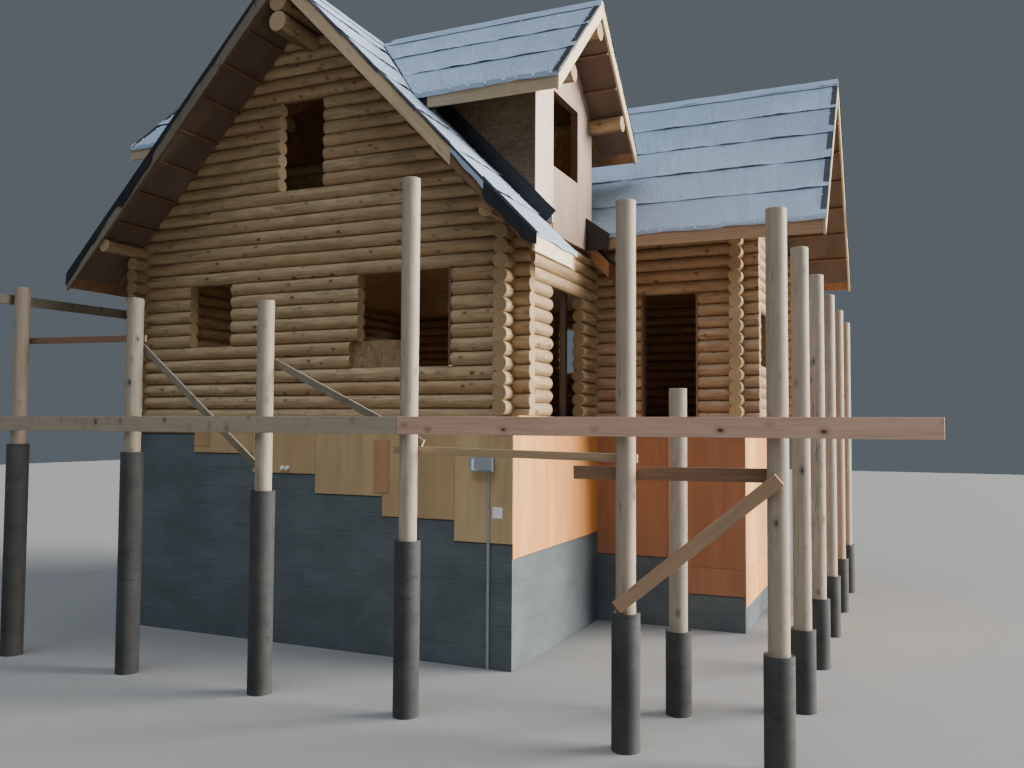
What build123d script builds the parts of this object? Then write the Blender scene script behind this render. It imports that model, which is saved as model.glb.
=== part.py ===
from build123d import *
import math
import os

# Log cabin under construction: storey-and-a-half main block, side wing, two dormers,
# stepped foundation and the bare frame of a wrap-round porch. Millimetres, +Z up.
# While it is laid out, X runs along the front gable with 0 on the right side wall's
# centreline, Y runs back from the front gable's centreline, and Z is 0 at floor level.

# Logs
COURSE = 200.0
LOG_GROOVE = 14.0
LOG_FACETS = 4
LOG_END = 340.0

# Plan, between the centrelines of the walls
MAIN_WIDTH = 6700.0
WING_FRONT = 3640.0
WING_DEPTH = 4720.0
WING_REACH = 2500.0

# Levels
GROUND_DROP = 3450.0
FLOOR_DEPTH = 290.0
UPPER_FLOOR_DEPTH = 250.0

# Roofs; the spring is the height of a roof's underside over its wall's centreline
ROOF_SPRING = 2807.0
WING_RIDGE_DROP = 294.0
ROOF_PITCH = 46.0
ROOF_THICKNESS = 190.0
RAKE_OVERHANG = 950.0
EAVE_OVERHANG = 763.0
SHORT_EAVE_OVERHANG = 430.0
WING_EAVE_OVERHANG = 740.0
WING_RAKE_OVERHANG = 1430.0
FASCIA_THICKNESS = 38.0
RIDGE_LOG_DIAMETER = 300.0
WING_RIDGE_LOG_DIAMETER = 260.0
BEARING_FLAT = 6.0

# Dormers; the right one's far eave is placed from the wing's front wall
DORMER_EAVE_PAST_WING = 170.0
LEFT_DORMER_SHIFT = 280.0
DORMER_WIDTH = 2510.0
DORMER_PITCH = 43.5
DORMER_RIDGE_DROP = 20.0
DORMER_EAVE_SPAN = 1920.0
DORMER_OVERHANG = 617.0
DORMER_WALL = 110.0
DORMER_PURLIN_DIAMETER = 260.0
DORMER_WINDOW_WIDTH = 1110.0
DORMER_WINDOW_HEIGHT = 1180.0
DORMER_HEAD_DROP = 1520.0

# Openings in the log walls: distance from the line that is named, and width
SMALL_WINDOW_FROM_LEFT = (1040.0, 840.0)
WIDE_WINDOW_FROM_RIGHT = (870.0, 1560.0)
WIDE_WINDOW_REBATE = 140.0
UPPER_WINDOW_FROM_RIDGE = (-575.0, 829.0)
REAR_WINDOW_FROM_LEFT = (1400.0, 1100.0)
REAR_WINDOW_FROM_RIGHT = (1300.0, 1100.0)
LEFT_WINDOW_FROM_FRONT = (4300.0, 1200.0)
SIDE_DOOR_FROM_WING = (820.0, 1440.0)
WING_DOOR_FROM_CORNER = (880.0, 970.0)
WING_END_WINDOW_WIDTH = 1200.0
PANEL_THICKNESS = 18.0
PANEL_SHORTFALL = 690.0

# Sills and heads, in courses
WIDE_SILL = 3.5
SILL = 5.5
HEAD = 10.5
SIDE_SILL = 5
SIDE_HEAD = 10
UPPER_HEAD_BELOW_RIDGE = 6.5
UPPER_WINDOW_COURSES = 7
ABOVE_ALL = 99

# Foundation and skirt
WALL_FACE = 100.0
STEM_THICKNESS = 200.0
SKIRT_THICKNESS = 150.0
FIRST_STEP_FROM_LEFT = 1210.0
LAST_STEP_FROM_RIGHT = 778.0
FRONT_STEP_TOP = -320.0
FRONT_STEP_DROP = 288.0
FRONT_STEPS = 5
REAR_STEPS_FROM_LEFT = (2200.0, 4500.0)
REAR_MIDDLE_TOP = -1184.0
SIDE_STEM_TOP = -1960.0
WING_STEP = 1450.0
WING_STEM_TOP = -2325.0
WING_LOW_STEM_TOP = -2890.0
WING_END_STEM_TOP = -3060.0
LEFT_STEM_TOP = -320.0

# Porch posts along the front: place, top and foot of the log
POST_DIAMETER = 214.0
POST_FACETS = 12
PIER_DIAMETER = 300.0
PORCH_DEPTH = 2270.0
POSTS_FROM_LEFT = (
    (-60.0, 1820.0, -450.0),
    (2160.0, 1550.0, -530.0),
    (4360.0, 1410.0, -970.0),
)
POSTS_FROM_RIGHT = (
    (-260.0, 2740.0, -1470.0),
    (2335.0, 2225.0, -2060.0),
    (3860.0, 2000.0, -2330.0),
)

# Porch posts along the side, and the short inner one
SIDE_POSTS = 5
SIDE_POST_SETBACK = 180.0
SIDE_POST_TOP = 2000.0
SIDE_POST_BOTTOM = -2500.0
INNER_POST = (2560.0, -900.0)
INNER_POST_TOP = 305.0
INNER_POST_BOTTOM = -2500.0

# Porch rim beam, in two lengths that meet at the fourth post
BEAM_TOP = -46.0
BEAM_HEIGHT = 203.0
BEAM_THICKNESS = 45.0
BEAM_LEFT_RUNOUT = 390.0
BEAM_RIGHT_RUNOUT = 1460.0
BEAM_JOINT_OFFSET = -70.0
BEAM_JOINT_GAP = 0.3

# Temporary boards in each bay of the porch: offset from the bay's post and height at each end
BOARD_THICKNESS = 38.0
STUD_WIDTH = 89.0
PLANK_WIDTH = 140.0
PORCH_BAYS = (
    (((-200.0, 1060.0), (60.0, 1020.0), STUD_WIDTH, "behind"),),
    (((-60.0, 1050.0), (60.0, -700.0), STUD_WIDTH, "behind"),),
    (((-60.0, 760.0), (300.0, -400.0), STUD_WIDTH, "behind"),),
    (((330.0, -440.0), (90.0, -480.0), STUD_WIDTH, "behind"),),
    (
        ((-615.0, -640.0), (60.0, -620.0), PLANK_WIDTH, "behind"),
        ((-60.0, -1990.0), (30.0, -640.0), PLANK_WIDTH, "before"),
    ),
)
END_RAIL_HEIGHT = 1600.0
END_RAIL_RUNOUT = 480.0

# Post inside the side doorway
INTERIOR_POST = (-400.0, 3180.0)
INTERIOR_POST_WIDTH = 140.0

# Electrical service on the front skirt
BOX_SIZE = (340.0, 110.0, 190.0)
BOX_CENTRE = (-335.0, -675.0)
CONDUIT_DIAMETER = 42.0
CONDUIT_X = -250.0

# Worked out from the sizes above
LOG_DIAMETER = COURSE + LOG_GROOVE
LOG_RADIUS = LOG_DIAMETER / 2
GROOVE_ANGLE = math.asin(COURSE / LOG_DIAMETER)
MAIN_DEPTH = WING_FRONT + WING_DEPTH
LEFT_LINE = -MAIN_WIDTH
RIDGE_X = -MAIN_WIDTH / 2
REAR_LINE = MAIN_DEPTH
WING_LINE = WING_REACH
WING_RIDGE_Y = WING_FRONT + WING_DEPTH / 2
MAIN_SLOPE = math.tan(math.radians(ROOF_PITCH))
DORMER_SLOPE = math.tan(math.radians(DORMER_PITCH))
MAIN_DROP = ROOF_THICKNESS / math.cos(math.radians(ROOF_PITCH))
DORMER_DROP = ROOF_THICKNESS / math.cos(math.radians(DORMER_PITCH))
MAIN_UNDERSIDE = ROOF_SPRING + MAIN_SLOPE * MAIN_WIDTH / 2
MAIN_RIDGE_HEIGHT = MAIN_UNDERSIDE + MAIN_DROP
WING_RIDGE_HEIGHT = MAIN_RIDGE_HEIGHT - WING_RIDGE_DROP
WING_UNDERSIDE = WING_RIDGE_HEIGHT - MAIN_DROP
WING_ROOF_SPRING = WING_UNDERSIDE - MAIN_SLOPE * WING_DEPTH / 2
DORMER_CENTRE = WING_FRONT + DORMER_EAVE_PAST_WING - DORMER_EAVE_SPAN
DORMER_RIDGE_HEIGHT = MAIN_RIDGE_HEIGHT - DORMER_RIDGE_DROP
DORMER_UNDERSIDE = DORMER_RIDGE_HEIGHT - DORMER_DROP
MAIN_HALF_SPAN = MAIN_WIDTH / 2 + EAVE_OVERHANG
WING_HALF_SPAN = WING_DEPTH / 2 + WING_EAVE_OVERHANG
MAIN_FRONT_EDGE = -RAKE_OVERHANG
MAIN_REAR_EDGE = MAIN_DEPTH + RAKE_OVERHANG
WING_EDGE = WING_LINE + WING_RAKE_OVERHANG
SIDE_COURSES = math.floor(ROOF_SPRING / COURSE)
WING_COURSES = math.floor(WING_ROOF_SPRING / COURSE) + 0.5
TOP_COURSE = math.ceil(MAIN_UNDERSIDE / COURSE) + 0.5
WING_TOP_COURSE = math.ceil(WING_UNDERSIDE / COURSE)
UPPER_HEAD = math.floor(MAIN_UNDERSIDE / COURSE) - UPPER_HEAD_BELOW_RIDGE
UPPER_SILL = UPPER_HEAD - UPPER_WINDOW_COURSES
PLATE_TOP = SIDE_COURSES * COURSE
PLATE_REACH = RAKE_OVERHANG - FASCIA_THICKNESS
UPPER_FLOOR_TOP = PLATE_TOP
SKY = 2 * MAIN_RIDGE_HEIGHT
FAR = 2 * (MAIN_WIDTH + MAIN_DEPTH)


def span_from(line, distance_and_width, direction=1):
    """The two sides of an opening at a distance from a wall's line."""
    distance, width = distance_and_width
    sides = (line + direction * distance, line + direction * (distance + width))
    return (min(sides), max(sides))


FRONT_SMALL_WINDOW = span_from(LEFT_LINE, SMALL_WINDOW_FROM_LEFT)
FRONT_WIDE_WINDOW = span_from(0.0, WIDE_WINDOW_FROM_RIGHT, -1)
FRONT_UPPER_WINDOW = span_from(RIDGE_X, UPPER_WINDOW_FROM_RIDGE)
REAR_LEFT_WINDOW = span_from(LEFT_LINE, REAR_WINDOW_FROM_LEFT)
REAR_RIGHT_WINDOW = span_from(0.0, REAR_WINDOW_FROM_RIGHT, -1)
LEFT_WINDOW = span_from(0.0, LEFT_WINDOW_FROM_FRONT)
SIDE_DOOR = span_from(WING_FRONT, SIDE_DOOR_FROM_WING, -1)
WING_DOOR = span_from(0.0, WING_DOOR_FROM_CORNER)
WING_END_WINDOW = (WING_RIDGE_Y - WING_END_WINDOW_WIDTH / 2, WING_RIDGE_Y + WING_END_WINDOW_WIDTH / 2)


def box_between(low, high):
    """A box from its low corner to its high corner."""
    size = [b - a for a, b in zip(low, high)]
    middle = [(a + b) / 2 for a, b in zip(low, high)]
    return Pos(*middle) * Box(*size)


def prism_along_x(points, start, end):
    """The polygon of (y, z) points carried along X."""
    plane = Plane(origin=(start, 0, 0), x_dir=(0, 1, 0), z_dir=(1, 0, 0))
    outline = make_face(Polyline(*points, close=True))
    return extrude(plane * outline, end - start)


def prism_along_y(points, start, end):
    """The polygon of (x, z) points carried along Y."""
    plane = Plane(origin=(0, end, 0), x_dir=(1, 0, 0), z_dir=(0, -1, 0))
    outline = make_face(Polyline(*points, close=True))
    return extrude(plane * outline, end - start)


def largest(shape):
    """The biggest solid of a cut shape, without slivers left above a log."""
    return max(shape.solids(), key=lambda solid: solid.volume)


def upright(x, y, diameter, bottom, top):
    """A round post with flats, one of which faces each side of the house."""
    outline = RegularPolygon(diameter / 2, POST_FACETS, major_radius=False)
    turned = Rot(0, 0, 180 / POST_FACETS) * outline
    return Pos(x, y, bottom) * extrude(turned, top - bottom)


def round_log(centre, diameter, axis, start, end):
    """A single round log with flats, along X or Y, at its (across, height) centre."""
    outline = RegularPolygon(diameter / 2, POST_FACETS, major_radius=False)
    turned = Rot(0, 0, 180 / POST_FACETS) * outline
    if axis == "x":
        plane = Plane(origin=(start, centre[0], centre[1]), x_dir=(0, 1, 0), z_dir=(1, 0, 0))
    else:
        plane = Plane(origin=(centre[0], start, centre[1]), x_dir=(-1, 0, 0), z_dir=(0, 1, 0))
    return extrude(plane * turned, end - start)


# Log walls

def log_flank(first_centre, low, high):
    """Half widths and heights up one flank of a stack of logs."""
    points = []
    centre = first_centre
    while centre - COURSE / 2 < high:
        for step in range(LOG_FACETS + 1):
            angle = GROOVE_ANGLE * (2 * step / LOG_FACETS - 1)
            height = centre + LOG_RADIUS * math.sin(angle)
            width = LOG_RADIUS * math.cos(angle)
            fresh = not points or height > points[-1][1] + 1
            if low - 0.01 <= height <= high + 0.01 and fresh:
                points.append((width, height))
        centre += COURSE
    return points


def log_stack(axis, line, start, end, low, high):
    """A stack of logs fused along their grooves; low and high are in courses."""
    first_centre = 0.0 if axis == "x" else COURSE / 2
    flank = log_flank(first_centre, low * COURSE, high * COURSE)
    outer = [(line + width, height) for width, height in flank]
    inner = [(line - width, height) for width, height in reversed(flank)]
    if axis == "x":
        return prism_along_x(outer + inner, start, end)
    return prism_along_y(outer + inner, start, end)


def upper_halves(axis, line, start, end, low, high):
    """The upper halves of the logs in a wall, which the crossing logs are notched over."""
    first_centre = 0.0 if axis == "x" else COURSE / 2
    halves = []
    centre = first_centre
    while centre < high * COURSE:
        if centre + COURSE / 2 > low * COURSE:
            flank = log_flank(centre, centre, centre + COURSE / 2)
            outer = [(line + width, height) for width, height in flank]
            inner = [(line - width, height) for width, height in reversed(flank)]
            if axis == "x":
                halves.append(prism_along_x(outer + inner, start, end))
            else:
                halves.append(prism_along_y(outer + inner, start, end))
        centre += COURSE
    return halves


def notched(wall, axis, line, crossings, low, high):
    """A wall with a saddle notch cut over every log that crosses it."""
    other = "y" if axis == "x" else "x"
    for crossing, top in crossings:
        reach = LOG_DIAMETER
        tools = upper_halves(other, crossing, line - reach, line + reach, low, min(high, top))
        wall = wall - tools
    return wall


def x_wall(line, start, end, low, high, crossings=()):
    """Part of a wall that runs along X."""
    wall = log_stack("x", line, start, end, low, high)
    return notched(wall, "x", line, crossings, low, high)


def y_wall(line, start, end, low, high, crossings=()):
    """Part of a wall that runs along Y."""
    wall = log_stack("y", line, start, end, low, high)
    return notched(wall, "y", line, crossings, low, high)


# Roof shapes

def roof_height(ridge_height, slope, offset):
    """Height of a roof's top surface at a distance from its ridge."""
    return ridge_height - slope * abs(offset)


def slope_band(ridge, ridge_height, slope, half_span, drop, side):
    """Section of one roof slope with a plumb cut at ridge and eave."""
    eave = ridge + side * half_span
    eave_height = roof_height(ridge_height, slope, half_span)
    return [
        (ridge, ridge_height),
        (eave, eave_height),
        (eave, eave_height - drop),
        (ridge, ridge_height - drop),
    ]


def above_gable(ridge, height, slope, reach):
    """Section of all that lies above a pair of slopes."""
    return [
        (ridge, height),
        (ridge + reach, height - slope * reach),
        (ridge + reach, SKY),
        (ridge - reach, SKY),
        (ridge - reach, height - slope * reach),
    ]


def below_gable(ridge, height, slope, half_width):
    """Section of a gabled space down to ground."""
    edge = height - slope * half_width
    return [
        (ridge, height),
        (ridge + half_width, edge),
        (ridge + half_width, -GROUND_DROP),
        (ridge - half_width, -GROUND_DROP),
        (ridge - half_width, edge),
    ]


over_main = prism_along_y(above_gable(RIDGE_X, MAIN_UNDERSIDE, MAIN_SLOPE, FAR / 2), -FAR / 2, FAR)
over_wing = prism_along_x(above_gable(WING_RIDGE_Y, WING_UNDERSIDE, MAIN_SLOPE, FAR / 2), -FAR, FAR)
main_envelope = prism_along_y(
    below_gable(RIDGE_X, MAIN_RIDGE_HEIGHT, MAIN_SLOPE, MAIN_HALF_SPAN),
    MAIN_FRONT_EDGE,
    MAIN_REAR_EDGE,
)
wing_space = prism_along_x(
    below_gable(WING_RIDGE_Y, WING_UNDERSIDE, MAIN_SLOPE, WING_DEPTH / 2 + LOG_RADIUS),
    RIDGE_X,
    WING_EDGE,
)
dormer_space = prism_along_x(
    below_gable(DORMER_CENTRE, DORMER_UNDERSIDE, DORMER_SLOPE, DORMER_WIDTH / 2),
    RIDGE_X,
    FAR,
)


DORMER_FACE = LOG_RADIUS
DORMER_EDGE = DORMER_FACE + DORMER_OVERHANG
half_dormer = DORMER_WIDTH / 2
dormer_near = DORMER_CENTRE - half_dormer
dormer_far = DORMER_CENTRE + half_dormer
dormer_block = box_between((RIDGE_X, dormer_near, 0), (DORMER_FACE, dormer_far, SKY))


def mirrored(shape):
    """The same piece on the other side of the main ridge."""
    return mirror(shape, about=Plane(origin=(RIDGE_X, 0, 0), x_dir=(0, 1, 0), z_dir=(1, 0, 0)))


def left_dormer(shape):
    """A piece of the right dormer, made again for the left one."""
    return Pos(0, LEFT_DORMER_SHIFT, 0) * mirrored(shape)


# Roof slabs
right_band = slope_band(RIDGE_X, MAIN_RIDGE_HEIGHT, MAIN_SLOPE, MAIN_HALF_SPAN - FASCIA_THICKNESS, MAIN_DROP, 1)
plain_slope = prism_along_y(
    right_band,
    MAIN_FRONT_EDGE + FASCIA_THICKNESS,
    MAIN_REAR_EDGE - FASCIA_THICKNESS,
)
open_slope = plain_slope - dormer_space
beyond_short_eave = box_between((SHORT_EAVE_OVERHANG, dormer_far, 0), (FAR, WING_FRONT, SKY))
roof_right = open_slope - wing_space - beyond_short_eave
roof_left = mirrored(plain_slope) - left_dormer(dormer_space)


def gable_slab(ridge, ridge_height, slope, half_span, drop, start, end):
    """Both slopes of a roof whose ridge runs along X."""
    outline = [
        (ridge, ridge_height),
        (ridge + half_span, ridge_height - slope * half_span),
        (ridge + half_span, ridge_height - slope * half_span - drop),
        (ridge, ridge_height - drop),
        (ridge - half_span, ridge_height - slope * half_span - drop),
        (ridge - half_span, ridge_height - slope * half_span),
    ]
    return prism_along_x(outline, start, end)


wing_roof = gable_slab(
    WING_RIDGE_Y,
    WING_RIDGE_HEIGHT,
    MAIN_SLOPE,
    WING_HALF_SPAN - FASCIA_THICKNESS,
    MAIN_DROP,
    RIDGE_X,
    WING_EDGE - FASCIA_THICKNESS,
) - main_envelope - dormer_block

dormer_roof = gable_slab(
    DORMER_CENTRE,
    DORMER_RIDGE_HEIGHT,
    DORMER_SLOPE,
    DORMER_EAVE_SPAN - FASCIA_THICKNESS,
    DORMER_DROP,
    RIDGE_X,
    DORMER_EDGE - FASCIA_THICKNESS,
) - main_envelope

# Dormer walls
dormer_ceiling = prism_along_x(
    above_gable(DORMER_CENTRE, DORMER_UNDERSIDE, DORMER_SLOPE, FAR / 2), -FAR, FAR
)
under_main_slope = prism_along_y(
    below_gable(RIDGE_X, MAIN_UNDERSIDE, MAIN_SLOPE, FAR / 2), -FAR / 2, FAR
)
dormer_window_head = DORMER_RIDGE_HEIGHT - DORMER_HEAD_DROP
dormer_window_sill = dormer_window_head - DORMER_WINDOW_HEIGHT
dormer_face = box_between(
    (DORMER_FACE - DORMER_WALL, dormer_near, PLATE_TOP),
    (DORMER_FACE, dormer_far, SKY),
)
dormer_face -= box_between(
    (-DORMER_WALL, DORMER_CENTRE - DORMER_WINDOW_WIDTH / 2, dormer_window_sill),
    (2 * DORMER_WALL, DORMER_CENTRE + DORMER_WINDOW_WIDTH / 2, dormer_window_head),
)
dormer_cheeks = []
for side in (-1, 1):
    outer = DORMER_CENTRE + side * half_dormer
    inner = outer - side * DORMER_WALL
    cheek = box_between(
        (RIDGE_X, min(outer, inner), PLATE_TOP),
        (DORMER_FACE - DORMER_WALL, max(outer, inner), SKY),
    )
    dormer_cheeks.append(cheek - under_main_slope - dormer_ceiling)

# Dormer purlins: one at the ridge and one on each cheek
purlin_radius = DORMER_PURLIN_DIAMETER / 2
purlin_drop = purlin_radius / math.cos(math.radians(DORMER_PITCH))
purlin_offset = half_dormer - DORMER_WALL / 2
purlin_height = DORMER_UNDERSIDE - DORMER_SLOPE * purlin_offset - purlin_drop + BEARING_FLAT
ridge_drop = RIDGE_LOG_DIAMETER / 2 / math.cos(math.radians(DORMER_PITCH))
ridge_purlin_height = DORMER_UNDERSIDE - ridge_drop + BEARING_FLAT
dormer_purlins = [
    round_log(
        (DORMER_CENTRE, ridge_purlin_height),
        RIDGE_LOG_DIAMETER,
        "x",
        RIDGE_X + RIDGE_LOG_DIAMETER / 2,
        DORMER_EDGE - FASCIA_THICKNESS,
    )
]
for side in (-1, 1):
    dormer_purlins.append(
        round_log(
            (DORMER_CENTRE + side * purlin_offset, purlin_height),
            DORMER_PURLIN_DIAMETER,
            "x",
            RIDGE_X,
            DORMER_EDGE - FASCIA_THICKNESS,
        )
    )
dormer_purlins = [purlin - dormer_ceiling - open_slope for purlin in dormer_purlins]
dormer_purlins = dormer_purlins[:1] + [purlin - under_main_slope for purlin in dormer_purlins[1:]]
dormer_face = largest(dormer_face - dormer_ceiling - dormer_purlins)
dormer_cheeks = [largest(cheek - dormer_purlins) for cheek in dormer_cheeks]

# Ridge logs: a stacked pair under the main ridge and one under the wing's
main_ridge_drop = RIDGE_LOG_DIAMETER / 2 / math.cos(math.radians(ROOF_PITCH))
upper_ridge_log = MAIN_UNDERSIDE - main_ridge_drop + BEARING_FLAT
ridge_logs = round_log(
    (RIDGE_X, upper_ridge_log),
    RIDGE_LOG_DIAMETER,
    "y",
    MAIN_FRONT_EDGE + FASCIA_THICKNESS,
    MAIN_REAR_EDGE - FASCIA_THICKNESS,
) + round_log(
    (RIDGE_X, upper_ridge_log - RIDGE_LOG_DIAMETER),
    RIDGE_LOG_DIAMETER,
    "y",
    MAIN_FRONT_EDGE + FASCIA_THICKNESS,
    MAIN_REAR_EDGE - FASCIA_THICKNESS,
)
ridge_logs = ridge_logs - over_main
wing_ridge_drop = WING_RIDGE_LOG_DIAMETER / 2 / math.cos(math.radians(ROOF_PITCH))
wing_ridge_log = round_log(
    (WING_RIDGE_Y, WING_UNDERSIDE - wing_ridge_drop + BEARING_FLAT),
    WING_RIDGE_LOG_DIAMETER,
    "x",
    RIDGE_X + RIDGE_LOG_DIAMETER / 2,
    WING_EDGE - FASCIA_THICKNESS,
)
wing_ridge_log = largest(wing_ridge_log - over_wing - roof_right)

# All that lies to the left and to the right of the right side wall's centreline
left_half = box_between((-FAR, -FAR, 0), (0, FAR, SKY))
right_half = box_between((0, -FAR, 0), (FAR, FAR, SKY))

# Front wall
left_crossing = (LEFT_LINE, SIDE_COURSES)
right_crossing = (0.0, SIDE_COURSES)
front_left = LEFT_LINE - LOG_END
front_right = LOG_END
front_wall_base = x_wall(0, front_left, front_right, 0, WIDE_SILL, (left_crossing, right_crossing))
front_wall_sill_band = x_wall(
    0,
    front_left,
    FRONT_WIDE_WINDOW[0] - WIDE_WINDOW_REBATE,
    WIDE_SILL,
    SILL,
    (left_crossing,),
)
front_wall_piers = [
    x_wall(0, front_left, FRONT_SMALL_WINDOW[0], SILL, HEAD, (left_crossing,)),
    x_wall(0, FRONT_SMALL_WINDOW[1], FRONT_WIDE_WINDOW[0], SILL, HEAD),
    x_wall(0, FRONT_WIDE_WINDOW[1], front_right, WIDE_SILL, HEAD, (right_crossing,)),
]


def gable_wall(line, start, end, low, high, crossings=()):
    """Part of a gable wall along X, cut to the main roof and round the ridge logs."""
    return x_wall(line, start, end, low, high, crossings) - over_main - ridge_logs


both_crossings = (left_crossing, right_crossing)
front_wall_upper = gable_wall(0, front_left, front_right, HEAD, UPPER_SILL, both_crossings)
front_gable_sides = [
    gable_wall(0, front_left, FRONT_UPPER_WINDOW[0], UPPER_SILL, UPPER_HEAD),
    gable_wall(0, FRONT_UPPER_WINDOW[1], front_right, UPPER_SILL, UPPER_HEAD),
]
front_gable_peak = largest(gable_wall(0, front_left, front_right, UPPER_HEAD, TOP_COURSE))
osb_panel = box_between(
    (FRONT_WIDE_WINDOW[0] - WIDE_WINDOW_REBATE, -PANEL_THICKNESS / 2, WIDE_SILL * COURSE),
    (FRONT_WIDE_WINDOW[1] - PANEL_SHORTFALL, PANEL_THICKNESS / 2, SILL * COURSE),
)

# Right side wall, up to the wing's front wall
front_crossing = (0.0, ABOVE_ALL)
wing_front_crossing = (WING_FRONT, WING_COURSES)
rear_crossing = (REAR_LINE, ABOVE_ALL)
right_wall_piers = [
    y_wall(0, -LOG_END, SIDE_DOOR[0], 0, SIDE_HEAD, (front_crossing,)),
    y_wall(0, SIDE_DOOR[1], WING_FRONT + LOG_END, 0, SIDE_HEAD, (wing_front_crossing,)),
]
right_wall_head = y_wall(
    0, -LOG_END, WING_FRONT + LOG_END, SIDE_HEAD, SIDE_COURSES, (front_crossing, wing_front_crossing)
)
right_wall_head += y_wall(0, -PLATE_REACH, -LOG_END, SIDE_COURSES - 1, SIDE_COURSES)
right_wall_head -= over_main

# Left side wall
left_wall_base = y_wall(
    LEFT_LINE, -LOG_END, REAR_LINE + LOG_END, 0, SIDE_SILL, (front_crossing, rear_crossing)
)
left_wall_piers = [
    y_wall(LEFT_LINE, -LOG_END, LEFT_WINDOW[0], SIDE_SILL, SIDE_HEAD, (front_crossing,)),
    y_wall(LEFT_LINE, LEFT_WINDOW[1], REAR_LINE + LOG_END, SIDE_SILL, SIDE_HEAD, (rear_crossing,)),
]
left_wall_head = y_wall(
    LEFT_LINE, -LOG_END, REAR_LINE + LOG_END, SIDE_HEAD, SIDE_COURSES, (front_crossing, rear_crossing)
)
for plate_start, plate_end in ((-PLATE_REACH, -LOG_END), (REAR_LINE + LOG_END, REAR_LINE + PLATE_REACH)):
    left_wall_head += y_wall(LEFT_LINE, plate_start, plate_end, SIDE_COURSES - 1, SIDE_COURSES)
left_wall_head -= over_main

# Wing front wall
wing_inner_crossing = (0.0, SIDE_COURSES)
wing_end_crossing = (WING_LINE, ABOVE_ALL)
wing_front_piers = [
    x_wall(WING_FRONT, -LOG_END, WING_DOOR[0], 0, HEAD, (wing_inner_crossing,)),
    x_wall(WING_FRONT, WING_DOOR[1], WING_LINE + LOG_END, 0, HEAD, (wing_end_crossing,)),
]
wing_front_head = x_wall(
    WING_FRONT,
    -LOG_END,
    WING_LINE + LOG_END,
    HEAD,
    WING_COURSES,
    (wing_inner_crossing, wing_end_crossing),
)
wing_front_head = wing_front_head - over_wing - (over_main & left_half)

# Wing end wall
wing_end_base = y_wall(
    WING_LINE,
    WING_FRONT - LOG_END,
    REAR_LINE + LOG_END,
    0,
    SIDE_SILL,
    (wing_front_crossing, rear_crossing),
)
wing_end_piers = [
    y_wall(
        WING_LINE, WING_FRONT - LOG_END, WING_END_WINDOW[0], SIDE_SILL, SIDE_HEAD, (wing_front_crossing,)
    ),
    y_wall(
        WING_LINE, WING_END_WINDOW[1], REAR_LINE + LOG_END, SIDE_SILL, SIDE_HEAD, (rear_crossing,)
    ),
]
wing_end_gable = y_wall(
    WING_LINE,
    WING_FRONT - LOG_END,
    REAR_LINE + LOG_END,
    SIDE_HEAD,
    WING_TOP_COURSE,
    (wing_front_crossing, (REAR_LINE, WING_COURSES)),
)
wing_end_gable = largest(wing_end_gable - over_wing - wing_ridge_log)

# Rear wall
rear_right = WING_LINE + LOG_END
rear_wall_base = x_wall(
    REAR_LINE, front_left, rear_right, 0, SILL, (left_crossing, wing_end_crossing)
)
rear_wall_piers = [
    x_wall(REAR_LINE, front_left, REAR_LEFT_WINDOW[0], SILL, HEAD, (left_crossing,)),
    x_wall(REAR_LINE, REAR_LEFT_WINDOW[1], REAR_RIGHT_WINDOW[0], SILL, HEAD),
    x_wall(REAR_LINE, REAR_RIGHT_WINDOW[1], rear_right, SILL, HEAD, (wing_end_crossing,)),
]
rear_lower = x_wall(
    REAR_LINE, front_left, rear_right, HEAD, WING_COURSES, (left_crossing, wing_end_crossing)
)
rear_gable = x_wall(REAR_LINE, front_left, 0, WING_COURSES, TOP_COURSE)
rear_wall_upper = rear_lower + rear_gable
rear_wall_upper = rear_wall_upper - (over_main & left_half) - (over_wing & right_half)
rear_wall_upper = largest(rear_wall_upper - ridge_logs)

# Floors
floor_platform = box_between(
    (LEFT_LINE - WALL_FACE, -WALL_FACE, -FLOOR_DEPTH), (WALL_FACE, REAR_LINE + WALL_FACE, 0)
) + box_between(
    (0, WING_FRONT - WALL_FACE, -FLOOR_DEPTH), (WING_LINE + WALL_FACE, REAR_LINE + WALL_FACE, 0)
)
upper_floor = box_between(
    (LEFT_LINE + LOG_RADIUS, LOG_RADIUS, UPPER_FLOOR_TOP - UPPER_FLOOR_DEPTH),
    (-LOG_RADIUS, REAR_LINE - LOG_RADIUS, UPPER_FLOOR_TOP),
) + box_between(
    (-LOG_DIAMETER, WING_FRONT + LOG_END, UPPER_FLOOR_TOP - UPPER_FLOOR_DEPTH),
    (WING_LINE - LOG_RADIUS, REAR_LINE - LOG_RADIUS, UPPER_FLOOR_TOP),
)
upper_floor -= box_between(
    (-LOG_END, WING_FRONT - LOG_RADIUS, UPPER_FLOOR_TOP - UPPER_FLOOR_DEPTH),
    (LOG_RADIUS, WING_FRONT + LOG_END, UPPER_FLOOR_TOP),
)
interior_post = box_between(
    (INTERIOR_POST[0] - INTERIOR_POST_WIDTH / 2, INTERIOR_POST[1] - INTERIOR_POST_WIDTH / 2, 0),
    (
        INTERIOR_POST[0] + INTERIOR_POST_WIDTH / 2,
        INTERIOR_POST[1] + INTERIOR_POST_WIDTH / 2,
        UPPER_FLOOR_TOP - UPPER_FLOOR_DEPTH,
    ),
)


# Foundation and skirt
def stepped_wall(tops, bottom_or_floor):
    """Elevation outline from (start, end, level) spans against one flat edge."""
    points = [(tops[0][0], bottom_or_floor)]
    for start, end, level in tops:
        points.append((start, level))
        points.append((end, level))
    points.append((tops[-1][1], bottom_or_floor))
    return points


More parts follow.
